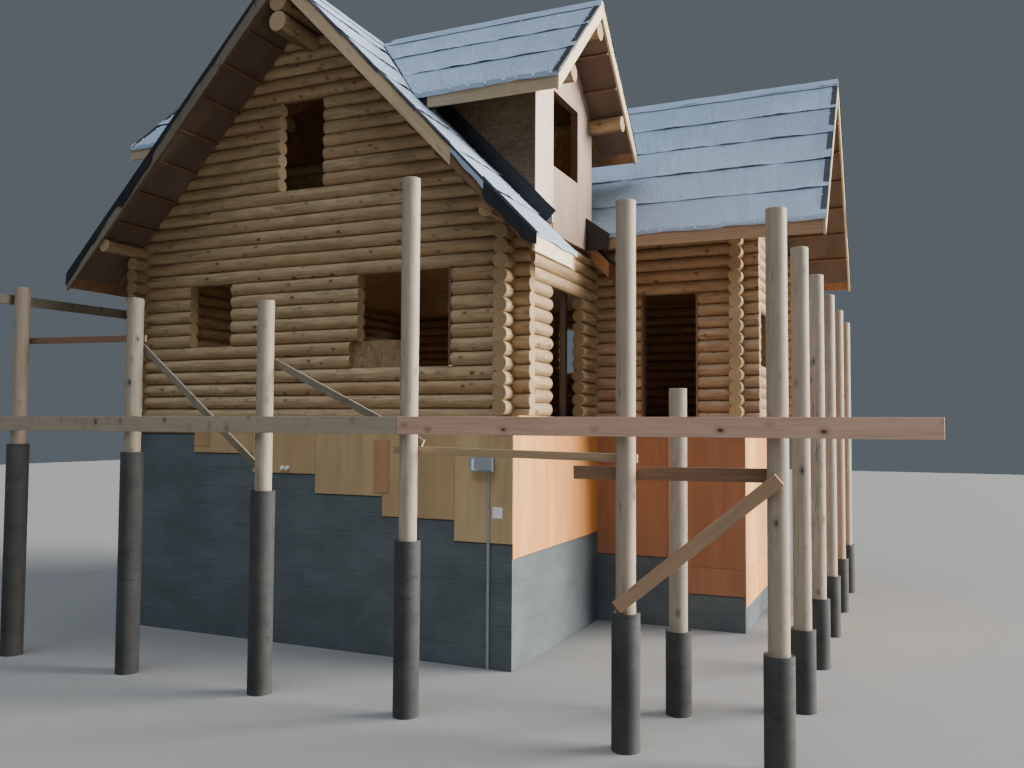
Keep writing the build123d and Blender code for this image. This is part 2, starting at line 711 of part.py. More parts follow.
left_face = LEFT_LINE - WALL_FACE
right_face = WALL_FACE
rear_face = REAR_LINE + WALL_FACE
first_step = LEFT_LINE + FIRST_STEP_FROM_LEFT
last_step = -LAST_STEP_FROM_RIGHT
step_run = (last_step - first_step) / (FRONT_STEPS - 1)
front_spans = [(left_face, first_step, FRONT_STEP_TOP)]
for step in range(1, FRONT_STEPS):
    step_start = first_step + (step - 1) * step_run
    front_spans.append((step_start, step_start + step_run, FRONT_STEP_TOP - step * FRONT_STEP_DROP))
front_spans.append((last_step, right_face, FRONT_STEP_TOP - FRONT_STEPS * FRONT_STEP_DROP))
wing_face = WING_LINE + WALL_FACE
wing_spans = [
    (right_face, WING_STEP, WING_STEM_TOP),
    (WING_STEP, wing_face, WING_LOW_STEM_TOP),
]
rear_steps = [LEFT_LINE + distance for distance in REAR_STEPS_FROM_LEFT]
rear_spans = [
    (left_face, rear_steps[0], LEFT_STEM_TOP),
    (rear_steps[0], rear_steps[1], REAR_MIDDLE_TOP),
    (rear_steps[1], WING_STEP, SIDE_STEM_TOP),
    (WING_STEP, wing_face, WING_END_STEM_TOP),
]


def stem_along_x(spans, face, inward):
    """Concrete wall along X under its steps."""
    edges = sorted((face, face + inward * STEM_THICKNESS))
    return prism_along_y(stepped_wall(spans, -GROUND_DROP), edges[0], edges[1])


def skirt_along_x(spans, face, inward):
    """Boarded frame wall along X between its steps and the floor."""
    edges = sorted((face, face + inward * SKIRT_THICKNESS))
    return prism_along_y(stepped_wall(spans, -FLOOR_DEPTH), edges[0], edges[1])


foundation_front_rear = [
    stem_along_x(front_spans, -WALL_FACE, 1),
    stem_along_x(wing_spans, WING_FRONT - WALL_FACE, 1),
    stem_along_x(rear_spans, rear_face, -1),
]
skirt_front_rear = [
    skirt_along_x(front_spans, -WALL_FACE, 1),
    skirt_along_x(wing_spans, WING_FRONT - WALL_FACE, 1),
    skirt_along_x(rear_spans, rear_face, -1),
]


def side_wall_pair(face, inward, start, end, top):
    """Concrete and skirt of a wall along Y, between the walls along X."""
    stem = sorted((face, face + inward * STEM_THICKNESS))
    skirt = sorted((face, face + inward * SKIRT_THICKNESS))
    return (
        box_between((stem[0], start, -GROUND_DROP), (stem[1], end, top)),
        box_between((skirt[0], start, top), (skirt[1], end, -FLOOR_DEPTH)),
    )


inner_front = -WALL_FACE + STEM_THICKNESS
inner_rear = rear_face - STEM_THICKNESS
left_stem, left_skirt = side_wall_pair(left_face, 1, inner_front, inner_rear, LEFT_STEM_TOP)
right_stem, right_skirt = side_wall_pair(
    right_face, -1, inner_front, WING_FRONT - WALL_FACE, SIDE_STEM_TOP
)
end_stem, end_skirt = side_wall_pair(
    wing_face, -1, WING_FRONT - WALL_FACE + STEM_THICKNESS, inner_rear, WING_END_STEM_TOP
)
foundation_sides = [left_stem, right_stem, end_stem]
skirt_sides = [left_skirt, right_skirt, end_skirt]

# Porch frame
front_line = -PORCH_DEPTH
front_posts = [(LEFT_LINE + x, top, bottom) for x, top, bottom in POSTS_FROM_LEFT]
front_posts += list(POSTS_FROM_RIGHT)
side_line = front_posts[-1][0]
side_pitch = (REAR_LINE - SIDE_POST_SETBACK - front_line) / SIDE_POSTS
posts = [(x, front_line, top, bottom) for x, top, bottom in front_posts]
for index in range(1, SIDE_POSTS + 1):
    posts.append((side_line, front_line + index * side_pitch, SIDE_POST_TOP, SIDE_POST_BOTTOM))
posts.append((*INNER_POST, INNER_POST_TOP, INNER_POST_BOTTOM))
porch_posts = [upright(x, y, POST_DIAMETER, bottom, top) for x, y, top, bottom in posts]
porch_piers = [upright(x, y, PIER_DIAMETER, -GROUND_DROP, bottom) for x, y, top, bottom in posts]
post_x = [post[0] for post in front_posts]
beam_back = front_line - POST_DIAMETER / 2
beam_joint = POSTS_FROM_RIGHT[0][0] + BEAM_JOINT_OFFSET
porch_beam = [
    box_between(
        (start, beam_back - BEAM_THICKNESS, BEAM_TOP - BEAM_HEIGHT), (end, beam_back, BEAM_TOP)
    )
    for start, end in (
        (post_x[0] - BEAM_LEFT_RUNOUT, beam_joint - BEAM_JOINT_GAP),
        (beam_joint, post_x[-1] + BEAM_RIGHT_RUNOUT),
    )
]


def board(start, end, width, y_face):
    """A board between two (x, z) points, lying against the plane y = y_face."""
    run = end[0] - start[0]
    rise = end[1] - start[1]
    length = math.hypot(run, rise)
    angle = math.degrees(math.atan2(rise, run))
    middle_x = (start[0] + end[0]) / 2
    middle_z = (start[1] + end[1]) / 2
    piece = Rot(0, -angle, 0) * Box(length, BOARD_THICKNESS, width)
    return Pos(middle_x, y_face, middle_z) * piece


board_faces = {
    "behind": front_line + POST_DIAMETER / 2 + BOARD_THICKNESS / 2,
    "before": beam_back - BOARD_THICKNESS / 2,
}
porch_braces = []
for near_post, far_post, bay_boards in zip(post_x, post_x[1:], PORCH_BAYS):
    for near_end, far_end, width, side in bay_boards:
        board_start = (near_post + near_end[0], near_end[1])
        board_end = (far_post + far_end[0], far_end[1])
        porch_braces.append(board(board_start, board_end, width, board_faces[side]))
rail_face = post_x[0] - POST_DIAMETER / 2
porch_braces.append(
    box_between(
        (rail_face - BOARD_THICKNESS, front_line - END_RAIL_RUNOUT, END_RAIL_HEIGHT - STUD_WIDTH / 2),
        (rail_face, -LOG_RADIUS, END_RAIL_HEIGHT + STUD_WIDTH / 2),
    )
)

# Fascia boards

def rake_pair(ridge, ridge_height, slope, half_span, drop):
    """Sections of the two boards of a rake, plumb cut at ridge and tail."""
    return [slope_band(ridge, ridge_height, slope, half_span, drop, side) for side in (-1, 1)]


main_rakes = rake_pair(RIDGE_X, MAIN_RIDGE_HEIGHT, MAIN_SLOPE, MAIN_HALF_SPAN, MAIN_DROP)
rake_fascia = [
    prism_along_y(outline, start, start + FASCIA_THICKNESS)
    for start in (MAIN_FRONT_EDGE, MAIN_REAR_EDGE - FASCIA_THICKNESS)
    for outline in main_rakes
]
eave_top = MAIN_RIDGE_HEIGHT - MAIN_SLOPE * (MAIN_HALF_SPAN - FASCIA_THICKNESS)
eave_bottom = eave_top - MAIN_DROP


def eave_board(start, end):
    """A stretch of the right eave's fascia."""
    edge = RIDGE_X + MAIN_HALF_SPAN
    return box_between((edge - FASCIA_THICKNESS, start, eave_bottom), (edge, end, eave_top))


eave_start = MAIN_FRONT_EDGE + FASCIA_THICKNESS
eave_end = MAIN_REAR_EDGE - FASCIA_THICKNESS
eave_fascia = [
    eave_board(eave_start, dormer_near),
    eave_board(REAR_LINE + LOG_RADIUS, eave_end),
    mirrored(eave_board(eave_start, dormer_near + LEFT_DORMER_SHIFT)),
    mirrored(eave_board(dormer_far + LEFT_DORMER_SHIFT, eave_end)),
]


def gable_end_fascia(ridge, ridge_height, slope, half_span, drop, edge):
    """Rake boards of a roof whose ridge runs along X."""
    bands = rake_pair(ridge, ridge_height, slope, half_span, drop)
    return [prism_along_x(outline, edge - FASCIA_THICKNESS, edge) for outline in bands]


def long_fascia(ridge, ridge_height, slope, half_span, drop, edge):
    """Eave boards of a roof whose ridge runs along X, stopped on the main roof."""
    top = ridge_height - slope * (half_span - FASCIA_THICKNESS)
    boards = []
    for side in (-1, 1):
        outer = ridge + side * half_span
        inner = outer - side * FASCIA_THICKNESS
        whole = box_between(
            (RIDGE_X, min(outer, inner), top - drop), (edge - FASCIA_THICKNESS, max(outer, inner), top)
        )
        boards.append(whole - main_envelope - dormer_block)
    return boards


wing_edges = (WING_RIDGE_Y, WING_RIDGE_HEIGHT, MAIN_SLOPE, WING_HALF_SPAN, MAIN_DROP, WING_EDGE)
wing_fascia = gable_end_fascia(*wing_edges) + long_fascia(*wing_edges)
dormer_edges = (
    DORMER_CENTRE,
    DORMER_RIDGE_HEIGHT,
    DORMER_SLOPE,
    DORMER_EAVE_SPAN,
    DORMER_DROP,
    DORMER_EDGE,
)
dormer_fascia = gable_end_fascia(*dormer_edges) + long_fascia(*dormer_edges)


def both_dormers(pieces):
    """The right dormer's pieces with those of the left one."""
    return pieces + [left_dormer(piece) for piece in pieces]


# Electrical service
skirt_face = -WALL_FACE
meter_box = box_between(
    (BOX_CENTRE[0] - BOX_SIZE[0] / 2, skirt_face - BOX_SIZE[1], BOX_CENTRE[1] - BOX_SIZE[2] / 2),
    (BOX_CENTRE[0] + BOX_SIZE[0] / 2, skirt_face, BOX_CENTRE[1] + BOX_SIZE[2] / 2),
)
conduit = upright(
    CONDUIT_X,
    skirt_face - CONDUIT_DIAMETER / 2,
    CONDUIT_DIAMETER,
    -GROUND_DROP,
    BOX_CENTRE[1] - BOX_SIZE[2] / 2,
)
electrical_service = [meter_box + conduit]

nodes = {
    "foundation_front_rear": foundation_front_rear,
    "foundation_sides": foundation_sides,
    "skirt_front_rear": skirt_front_rear,
    "skirt_sides": skirt_sides,
    "floor_platform": [floor_platform],
    "upper_floor": [upper_floor],
    "front_wall_base": [front_wall_base],
    "front_wall_sill_band": [front_wall_sill_band],
    "front_wall_piers": front_wall_piers,
    "front_wall_upper": [front_wall_upper],
    "front_gable_sides": front_gable_sides,
    "front_gable_peak": [front_gable_peak],
    "front_window_panel": [osb_panel],
    "right_wall_piers": right_wall_piers,
    "right_wall_head": [right_wall_head],
    "left_wall_base": [left_wall_base],
    "left_wall_piers": left_wall_piers,
    "left_wall_head": [left_wall_head],
    "wing_front_piers": wing_front_piers,
    "wing_front_head": [wing_front_head],
    "wing_end_base": [wing_end_base],
    "wing_end_piers": wing_end_piers,
    "wing_end_gable": [wing_end_gable],
    "rear_wall_base": [rear_wall_base],
    "rear_wall_piers": rear_wall_piers,
    "rear_wall_upper": [rear_wall_upper],
    "roof_right": [roof_right],
    "roof_left": [roof_left],
    "roof_wing": [wing_roof],
    "ridge_logs": [ridge_logs],
    "wing_ridge_log": [wing_ridge_log],
    "rake_fascia": rake_fascia,
    "eave_fascia": eave_fascia,
    "wing_fascia": wing_fascia,
    "dormer_faces": both_dormers([dormer_face]),
    "dormer_cheeks": both_dormers(dormer_cheeks),
    "dormer_roofs": both_dormers([dormer_roof]),
    "dormer_fascia": both_dormers(dormer_fascia),
    "dormer_purlins": both_dormers(dormer_purlins),
    "porch_posts": porch_posts,
    "porch_piers": porch_piers,
    "porch_beam": porch_beam,
    "porch_braces": porch_braces,
    "interior_post": [interior_post],
    "electrical_service": electrical_service,
}

# The finished part stands on the ground with its origin under the middle of its outline
bodies = {}
for name, pieces in nodes.items():
    solids = [solid for piece in pieces for solid in piece.solids()]
    bodies[name] = Compound(children=solids)
outline = Compound(children=[Compound(children=body.solids()) for body in bodies.values()]).bounding_box()
to_origin = Pos(-(outline.min.X + outline.max.X) / 2, -(outline.min.Y + outline.max.Y) / 2, GROUND_DROP)

os.makedirs("parts", exist_ok=True)
for name, body in bodies.items():
    placed = to_origin * body
    export_step(placed, f"parts/{name}.step")
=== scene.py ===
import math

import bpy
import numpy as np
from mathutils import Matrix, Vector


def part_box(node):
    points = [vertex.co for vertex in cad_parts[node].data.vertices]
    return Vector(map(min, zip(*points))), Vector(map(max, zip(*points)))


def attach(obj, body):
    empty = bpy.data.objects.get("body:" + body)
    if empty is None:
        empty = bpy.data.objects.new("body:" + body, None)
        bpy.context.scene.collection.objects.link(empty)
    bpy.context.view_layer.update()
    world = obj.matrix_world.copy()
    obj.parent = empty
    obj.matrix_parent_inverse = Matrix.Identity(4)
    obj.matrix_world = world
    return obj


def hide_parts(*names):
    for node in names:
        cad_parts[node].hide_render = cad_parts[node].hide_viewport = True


bl_info = {
    "name": "Log cabin dressing",
    "version": (1, 0, 0),
    "blender": (4, 5, 0),
    "location": "3D View > Sidebar > Log cabin",
    "description": "Logs, felt roofs, boards, sheets and porch of a log cabin that is being built",
    "category": "Add Mesh",
}

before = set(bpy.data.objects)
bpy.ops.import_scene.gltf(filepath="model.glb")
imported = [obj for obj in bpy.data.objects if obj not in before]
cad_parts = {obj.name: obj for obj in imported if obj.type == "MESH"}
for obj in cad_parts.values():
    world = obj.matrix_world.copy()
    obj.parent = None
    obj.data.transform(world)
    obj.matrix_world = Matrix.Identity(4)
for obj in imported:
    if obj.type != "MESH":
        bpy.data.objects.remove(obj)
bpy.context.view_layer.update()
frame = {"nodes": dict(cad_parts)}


def middle(node, axis):
    """Half way across a node's box along one axis."""
    low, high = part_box(node)
    return (low[axis] + high[axis]) / 2


# Lines of the house, read from the frame; sizes below are in metres
RIGHT_LINE = middle("right_wall_piers", 0)
LEFT_LINE = middle("left_wall_base", 0)
WING_LINE = middle("wing_end_base", 0)
FRONT_LINE = middle("front_wall_base", 1)
WING_FRONT = middle("wing_front_piers", 1)
REAR_LINE = middle("rear_wall_base", 1)
FLOOR_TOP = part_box("floor_platform")[1].z
RIDGE_X = middle("ridge_logs", 0)
RIDGE_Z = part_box("roof_right")[1].z
WING_RIDGE_Y = middle("wing_ridge_log", 1)
WING_RIDGE_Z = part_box("roof_wing")[1].z
DORMER_RIDGE_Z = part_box("dormer_roofs")[1].z
COURSE = 0.2
LOG_RADIUS = (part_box("front_wall_base")[1].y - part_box("front_wall_base")[0].y) / 2
LOG_END = 0.34
FASCIA = 0.038
ROOF_PITCH = math.radians(46)
DORMER_PITCH = math.radians(43.5)
ROOF_THICKNESS = 0.19
RAKE_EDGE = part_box("rake_fascia")[0].y
REAR_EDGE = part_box("rake_fascia")[1].y
EAVE_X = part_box("eave_fascia")[1].x
WING_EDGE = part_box("wing_fascia")[1].x
DORMER_WIDTH = 2.51
DORMER_HALF_SPAN = 1.92
DORMER_SHIFT = 0.28
DORMER_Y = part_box("dormer_faces")[0].y + DORMER_WIDTH / 2
DORMER_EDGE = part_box("dormer_fascia")[1].x
DORMERS = ((1, DORMER_Y), (-1, DORMER_Y + DORMER_SHIFT))
WALL_FACE = 0.1
SHEET = 0.012
STUD = 0.038
ROOF_GAP = 0.004
RIDGE_RADIUS = 0.15
PURLIN_RADIUS = 0.13
SHARP_ANGLE = math.radians(35)
ROOT = "root"


def mirrored(x, side):
    """A place on the right of the main ridge, or its mirror on the left where side is -1."""
    return x if side > 0 else 2 * RIDGE_X - x


def house(x, y, z):
    """A point given from the front right corner of the walls at floor level."""
    return np.array([RIGHT_LINE + x, FRONT_LINE + y, FLOOR_TOP + z])


# Roof thickness measured plumb, and rise over run
ROOF_DROP = ROOF_THICKNESS / math.cos(ROOF_PITCH)
DORMER_DROP = ROOF_THICKNESS / math.cos(DORMER_PITCH)
SLOPE = math.tan(ROOF_PITCH)
DORMER_SLOPE = math.tan(DORMER_PITCH)
MAIN_UNDERSIDE = RIDGE_Z - ROOF_DROP
WING_UNDERSIDE = WING_RIDGE_Z - ROOF_DROP
DORMER_UNDERSIDE = DORMER_RIDGE_Z - DORMER_DROP


class CabinLogs(bpy.types.PropertyGroup):
    """Sizes and colours of the logs."""

    sides: bpy.props.IntProperty(name="Sides", description="Faces round a log", default=20, min=8)
    step: bpy.props.FloatProperty(
        name="Step", description="Distance between rings along a log", default=0.16, unit="LENGTH"
    )
    end_round: bpy.props.FloatProperty(
        name="End rounding", description="Rounding of a sawn log end", default=0.006, unit="LENGTH"
    )
    uneven: bpy.props.FloatProperty(
        name="Unevenness", description="How far a log leaves a true round", default=0.0022, unit="LENGTH"
    )
    light: bpy.props.FloatVectorProperty(
        name="Light wood", description="Lighter honey colour", default=(0.52, 0.37, 0.20), subtype="COLOR"
    )
    dark: bpy.props.FloatVectorProperty(
        name="Dark wood", description="Darker honey colour", default=(0.285, 0.185, 0.088), subtype="COLOR"
    )
    post: bpy.props.FloatVectorProperty(
        name="Post wood", description="Colour of the peeled posts", default=(0.37, 0.305, 0.225),
        subtype="COLOR",
    )


class CabinRoof(bpy.types.PropertyGroup):
    """Sizes and colours of the roofs."""

    exposure: bpy.props.FloatProperty(
        name="Exposure", description="Visible width of a felt strip", default=0.86, unit="LENGTH"
    )
    lap: bpy.props.FloatProperty(
        name="Lap", description="Overlap of felt strips", default=0.07, unit="LENGTH"
    )
    lift: bpy.props.FloatProperty(
        name="Lift", description="Height of a strip's free edge", default=0.021, unit="LENGTH"
    )
    nail_spacing: bpy.props.FloatProperty(
        name="Nail spacing", description="Distance between cap nails", default=0.22, unit="LENGTH"
    )
    # The felt's pale blue-grey is partly the grey felt and partly a painted reflection of the sky.
    felt: bpy.props.FloatVectorProperty(
        name="Felt", description="Colour of the felt", default=(0.295, 0.37, 0.48), subtype="COLOR"
    )
    membrane: bpy.props.FloatVectorProperty(
        name="Membrane", description="Colour of the folded edge strip", default=(0.007, 0.0085, 0.013),
        subtype="COLOR",
    )


class CabinSheets(bpy.types.PropertyGroup):
    """Colours of boards, sheets and concrete."""

    board: bpy.props.FloatVectorProperty(
        name="Board", description="Sawn board colour", default=(0.60, 0.44, 0.26), subtype="COLOR"
    )
    plywood: bpy.props.FloatVectorProperty(
        name="Plywood", description="Plywood colour", default=(0.53, 0.375, 0.19), subtype="COLOR"
    )
    concrete: bpy.props.FloatVectorProperty(
        name="Concrete", description="Concrete colour", default=(0.095, 0.112, 0.12), subtype="COLOR"
    )
    sheet_width: bpy.props.FloatProperty(
        name="Sheet width", description="Width of a plywood sheet", default=1.22, unit="LENGTH"
    )


class CabinStage(bpy.types.PropertyGroup):
    """Place and lens of the camera."""

    lens: bpy.props.FloatProperty(name="Lens", description="Focal length", default=31.55, unit="CAMERA")
    yaw: bpy.props.FloatProperty(
        name="Yaw", description="Turn of the camera to the left of +Y", default=0.415, subtype="ANGLE"
    )
    tilt: bpy.props.FloatProperty(
        name="Tilt", description="Upward tilt of the camera", default=0.047, subtype="ANGLE"
    )
    roll: bpy.props.FloatProperty(
        name="Roll", description="Roll of the camera", default=0.006, subtype="ANGLE"
    )
    eye: bpy.props.FloatVectorProperty(
        name="Eye", description="Camera place from the corner of the walls at floor level",
        default=(5.016, -11.296, -0.149), subtype="XYZ",
    )


# Arrays to meshes

def grid_faces(rows, columns, closed):
    """Quads of a grid of points; closed joins the last column to the first."""
    row = np.arange(rows - 1)[:, None] * columns
    column = np.arange(columns if closed else columns - 1)[None, :]
    following = (column + 1) % columns
    corners = [row + column, row + following, row + columns + following, row + columns + column]
    return np.stack(np.broadcast_arrays(*corners), axis=-1).reshape(-1, 4)


def grid_corners(u, v):
    """UV corners of those quads; u follows the rows and v the columns."""
    pairs = [(u[:-1, None], v[None, :-1]), (u[:-1, None], v[None, 1:])]
    pairs += [(u[1:, None], v[None, 1:]), (u[1:, None], v[None, :-1])]
    corners = [np.stack(np.broadcast_arrays(a, b), axis=-1) for a, b in pairs]
    return np.stack(corners, axis=2).reshape(-1, 4, 2)


class Surfaces:
    """Closed surfaces kept as arrays, made into one mesh at the end."""

    def __init__(self):
        self.points = []
        self.tones = []
        self.grooves = []
        self.faces = []
        self.count = 0

    def closed(self, points, faces, tone, groove=None):
        """Adds one closed surface; a negative enclosed volume means its faces point inwards."""
        points = points.reshape(-1, 3)
        volume = 0.0
        for corners, _, _, _ in faces:
            first = points[corners[:, 0]]
            for k in range(1, corners.shape[1] - 1):
                second = points[corners[:, k]]
                third = points[corners[:, k + 1]]
                volume += np.einsum("ij,ij->i", first, np.cross(second, third)).sum()
        for corners, uv, slot, smooth in faces:
            if volume < 0:
                corners = corners[:, ::-1]
                uv = uv[:, ::-1]
            self.faces.append((corners + self.count, uv, slot, smooth))
        self.points.append(points)
        self.tones.append(np.full(len(points), tone))
        self.grooves.append(np.zeros(len(points)) if groove is None else groove.reshape(-1))
        self.count += len(points)

    def piece(self, name, finishes, nodes=(), slot=None):
        """Makes the mesh with its UV map and its two attributes, and rides it on the house."""
        mesh = bpy.data.meshes.new(name)
        points = np.concatenate(self.points)
        sizes = np.concatenate([np.full(len(f), f.shape[1]) for f, _, _, _ in self.faces])
        flat = np.concatenate([f.reshape(-1) for f, _, _, _ in self.faces])
        uv = np.concatenate([u.reshape(-1, 2) for _, u, _, _ in self.faces])
        slots = np.concatenate([np.full(len(f), s) for f, _, s, _ in self.faces])
        smooth = np.concatenate([np.full(len(f), s) for f, _, _, s in self.faces])
        starts = np.concatenate([[0], np.cumsum(sizes)[:-1]])
        mesh.vertices.add(len(points))
        mesh.vertices.foreach_set("co", points.astype(np.float32).reshape(-1))
        mesh.loops.add(len(flat))
        mesh.loops.foreach_set("vertex_index", flat.astype(np.int32))
        mesh.polygons.add(len(sizes))
        mesh.polygons.foreach_set("loop_start", starts.astype(np.int32))
        mesh.polygons.foreach_set("loop_total", sizes.astype(np.int32))
        mesh.polygons.foreach_set("material_index", slots.astype(np.int32))
        mesh.polygons.foreach_set("use_smooth", smooth.astype(bool))
        layer = mesh.uv_layers.new(name="UVMap")
        layer.data.foreach_set("uv", uv.astype(np.float32).reshape(-1))
        for title, values in (("tone", self.tones), ("groove", self.grooves)):
            attribute = mesh.attributes.new(title, "FLOAT", "POINT")
            attribute.data.foreach_set("value", np.concatenate(values).astype(np.float32))
        mesh.update(calc_edges=True)
        mesh.validate()
        mesh.set_sharp_from_angle(angle=SHARP_ANGLE)
        piece = bpy.data.objects.new(name, mesh)
        bpy.context.scene.collection.objects.link(piece)
        for finish in finishes:
            mesh.materials.append(MATERIALS[finish])
        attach(piece, ROOT)
        if nodes:
            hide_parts(*nodes)


def carried(surfaces, rings, along, around, caps, tone, side_slot=0, cap_slot=1, smooth=True, groove=None):
    """A profile carried along a path: rings of points, closed by a flat face at each end."""
    count, sides = rings.shape[:2]
    faces = [(grid_faces(count, sides, True), grid_corners(along, around), side_slot, smooth)]
    near = np.arange(sides)[None, ::-1]
    far = (np.arange(sides) + (count - 1) * sides)[None, :]
    faces.append((near, caps[0][None, ::-1], cap_slot, False))
    faces.append((far, caps[1][None], cap_slot, False))
    surfaces.closed(rings, faces, tone, groove)


def value_at(limit, place):
    """A limit that is either one number or a function of a place."""
    return limit(place) if callable(limit) else np.full_like(place, limit)


def profile_lengths(profile):
    """Distance along a profile to each of its points."""
    return np.concatenate([[0], np.cumsum(np.linalg.norm(np.diff(profile, axis=0), axis=1))])


def log(surfaces, axis, place, start, end, rng, radius=LOG_RADIUS, ceiling=None, floor=None, step=None):
    """A log: point(a, s) = path(s) + r(a, s) (cos a, sin a), where r is the radius with slow waves in
    a and s, a little less at the sawn ends; start and end may follow the height, for a cut to a slope."""
    sizes = bpy.context.scene.cabin_logs
    angle = np.linspace(0, 2 * np.pi, sizes.sides, endpoint=False)
    centre = np.array([place[1]])
    reach = max(abs(float(value_at(end, centre)[0] - value_at(start, centre)[0])), 0.05)
    rounding = sizes.end_round / reach
    rings = max(3, int(reach / (step or sizes.step)) + 1)
    along = np.concatenate([[0], np.linspace(rounding, 1 - rounding, rings), [1]])
    phase = rng.uniform(0, 2 * np.pi, 6)
    metres = along * reach
    waves = np.sin(2 * angle[None] + phase[0] + 0.7 * metres[:, None])
    waves = waves + 0.7 * np.sin(3 * angle[None] + phase[1] - 0.9 * metres[:, None])
    waves = waves + 0.8 * np.sin(2.3 * metres[:, None] + phase[2]) * np.cos(angle[None] + phase[3])
    wide = radius + sizes.uneven * waves
    wide[0] -= sizes.end_round * 0.8
    wide[-1] -= sizes.end_round * 0.8
    across = wide * np.cos(angle)
    height = place[1] + wide * np.sin(angle)
    begin = value_at(start, height)
    finish = np.maximum(value_at(end, height), begin + 0.002)
    path = begin + (finish - begin) * along[:, None]
    if axis == "x":
        rings_at = np.stack([path, place[0] + across, height], axis=-1)
    else:
        rings_at = np.stack([place[0] + across, path, height], axis=-1)
    if ceiling is not None:
        rings_at[..., 2] = np.minimum(rings_at[..., 2], ceiling(rings_at[..., 0], rings_at[..., 1]))
    if floor is not None:
        rings_at[..., 2] = np.maximum(rings_at[..., 2], floor)
    shift = rng.uniform(0, 60)
    around = np.linspace(0, 2 * np.pi * radius, sizes.sides + 1) + rng.uniform(0, 30)
    ends = [np.stack([across[k], wide[k] * np.sin(angle)], axis=-1) for k in (0, -1)]
    # Weight that rises towards the top and bottom of each log, where it meets the next course; the log finish
    # darkens it there as painted shade, partly grime.
    groove = np.broadcast_to(np.abs(np.sin(angle)) ** 5, rings_at.shape[:2])
    carried(surfaces, rings_at, metres + shift, around, ends, rng.uniform(), groove=groove)


def upright_log(surfaces, place, bottom, top, rng, radius):
    """A standing log: a circle with slow waves carried up, a little less at the sawn ends."""
    sizes = bpy.context.scene.cabin_logs
    sides = sizes.sides + 4
    angle = np.linspace(0, 2 * np.pi, sides, endpoint=False)
    reach = top - bottom
    rings = max(3, int(reach / 0.15) + 1)
    rounding = sizes.end_round / reach
    along = np.concatenate([[0], np.linspace(rounding, 1 - rounding, rings), [1]])
    phase = rng.uniform(0, 2 * np.pi, 4)
    metres = along * reach
    waves = np.sin(2 * angle[None] + phase[0] + 0.8 * metres[:, None])
    waves = waves + 0.6 * np.sin(1.9 * metres[:, None] + phase[1]) * np.cos(angle[None] + phase[2])
    wide = radius - sizes.uneven + 0.5 * sizes.uneven * waves
    wide[0] -= sizes.end_round * 0.8
    wide[-1] -= sizes.end_round * 0.8
    x = place[0] + wide * np.cos(angle)
    y = place[1] + wide * np.sin(angle)
    z = np.broadcast_to((bottom + metres)[:, None], x.shape)
    around = np.linspace(0, 2 * np.pi * radius, sides + 1) + rng.uniform(0, 30)
    ends = [np.stack([wide[k] * np.cos(angle), wide[k] * np.sin(angle)], axis=-1) for k in (0, -1)]
    rings_at = np.stack([x, y, z], axis=-1)
    carried(surfaces, rings_at, metres + rng.uniform(0, 60), around, ends, rng.uniform())


def board(surfaces, start, end, across, through, width, thickness, rng, bevel=0.003, slots=(0, 1), tone=None):
    """A board: an eight-cornered rectangle, centred on its path, carried from start to end."""
    start, end = np.asarray(start, float), np.asarray(end, float)
    across, through = np.asarray(across, float), np.asarray(through, float)
    a = width / 2
    b = thickness / 2
    c = min(bevel, b * 0.6)
    profile = np.array(
        [
            (-a, -b + c), (-a + c, -b), (a - c, -b), (a, -b + c),
            (a, b - c), (a - c, b), (-a + c, b), (-a, b - c),
        ]
    )
    reach = np.linalg.norm(end - start)
    along = np.array([0, c / reach, 1 - c / reach, 1])
    size = np.ones((4, 8, 2))
    size[0] = size[3] = np.array([(a - c) / a, (b - c) / b])
    offsets = profile[None] * size
    rings = start + (end - start) * along[:, None, None]
    rings = rings + offsets[..., :1] * across + offsets[..., 1:] * through
    around = profile_lengths(np.vstack([profile, profile[:1]])) + rng.uniform(0, 40)
    ends = [offsets[0], offsets[3]]
    chosen = rng.uniform() if tone is None else tone
    metres = along * reach + rng.uniform(0, 60)
    carried(surfaces, rings, metres, around, ends, chosen, *slots, False)


def panel(surfaces, outline, origin, across, up, thickness, rng, slot=0, grain_up=True, tone=None):
    """A flat sheet: an outline of (across, up) points, with its back at the origin and its face raised
    by the thickness; the grain of its UV map runs up or across."""
    across, up = np.array(across, float), np.array(up, float)
    out = np.cross(across, up)
    outline = np.array(outline, float)
    back = np.array(origin, float) + outline[:, :1] * across + outline[:, 1:] * up
    count = len(outline)
    uv = (outline[:, ::-1] if grain_up else outline) + rng.uniform(0, 40, 2)
    k = np.arange(count)
    following = (k + 1) % count
    sides = np.stack([k, following, following + count, k + count], axis=-1)
    side_uv = uv[np.stack([k, following, following, k], axis=-1)]
    faces = [
        (k[None, ::-1], uv[None, ::-1], slot, False),
        (k[None] + count, uv[None], slot, False),
        (sides, side_uv, slot, False),
    ]
    chosen = rng.uniform() if tone is None else tone
    surfaces.closed(np.concatenate([back, back + thickness * out]), faces, chosen)


def thin_sheet(surfaces, top, bottom, u, v, tone, slot=0, smooth=True):
    """A thin closed sheet between two grids of points, joined round their rim."""
    rows, columns = top.shape[:2]
    count = rows * columns
    grid = np.arange(count).reshape(rows, columns)
    quads = grid_faces(rows, columns, False)
    corners = grid_corners(u, v)
    rim = np.concatenate([grid[0, :-1], grid[:-1, -1], grid[-1, :0:-1], grid[:0:-1, 0]])
    following = np.roll(rim, -1)
    sides = np.stack([rim, rim + count, following + count, following], axis=-1)
    places = np.stack(np.broadcast_arrays(u[:, None], v[None, :]), axis=-1).reshape(-1, 2)
    side_uv = places[np.stack([rim, rim, following, following], axis=-1)]
    faces = [
        (quads, corners, slot, smooth),
        (quads[:, ::-1] + count, corners[:, ::-1], slot, smooth),
        (sides, side_uv, slot, False),
    ]
    surfaces.closed(np.concatenate([top.reshape(-1, 3), bottom.reshape(-1, 3)]), faces, tone)


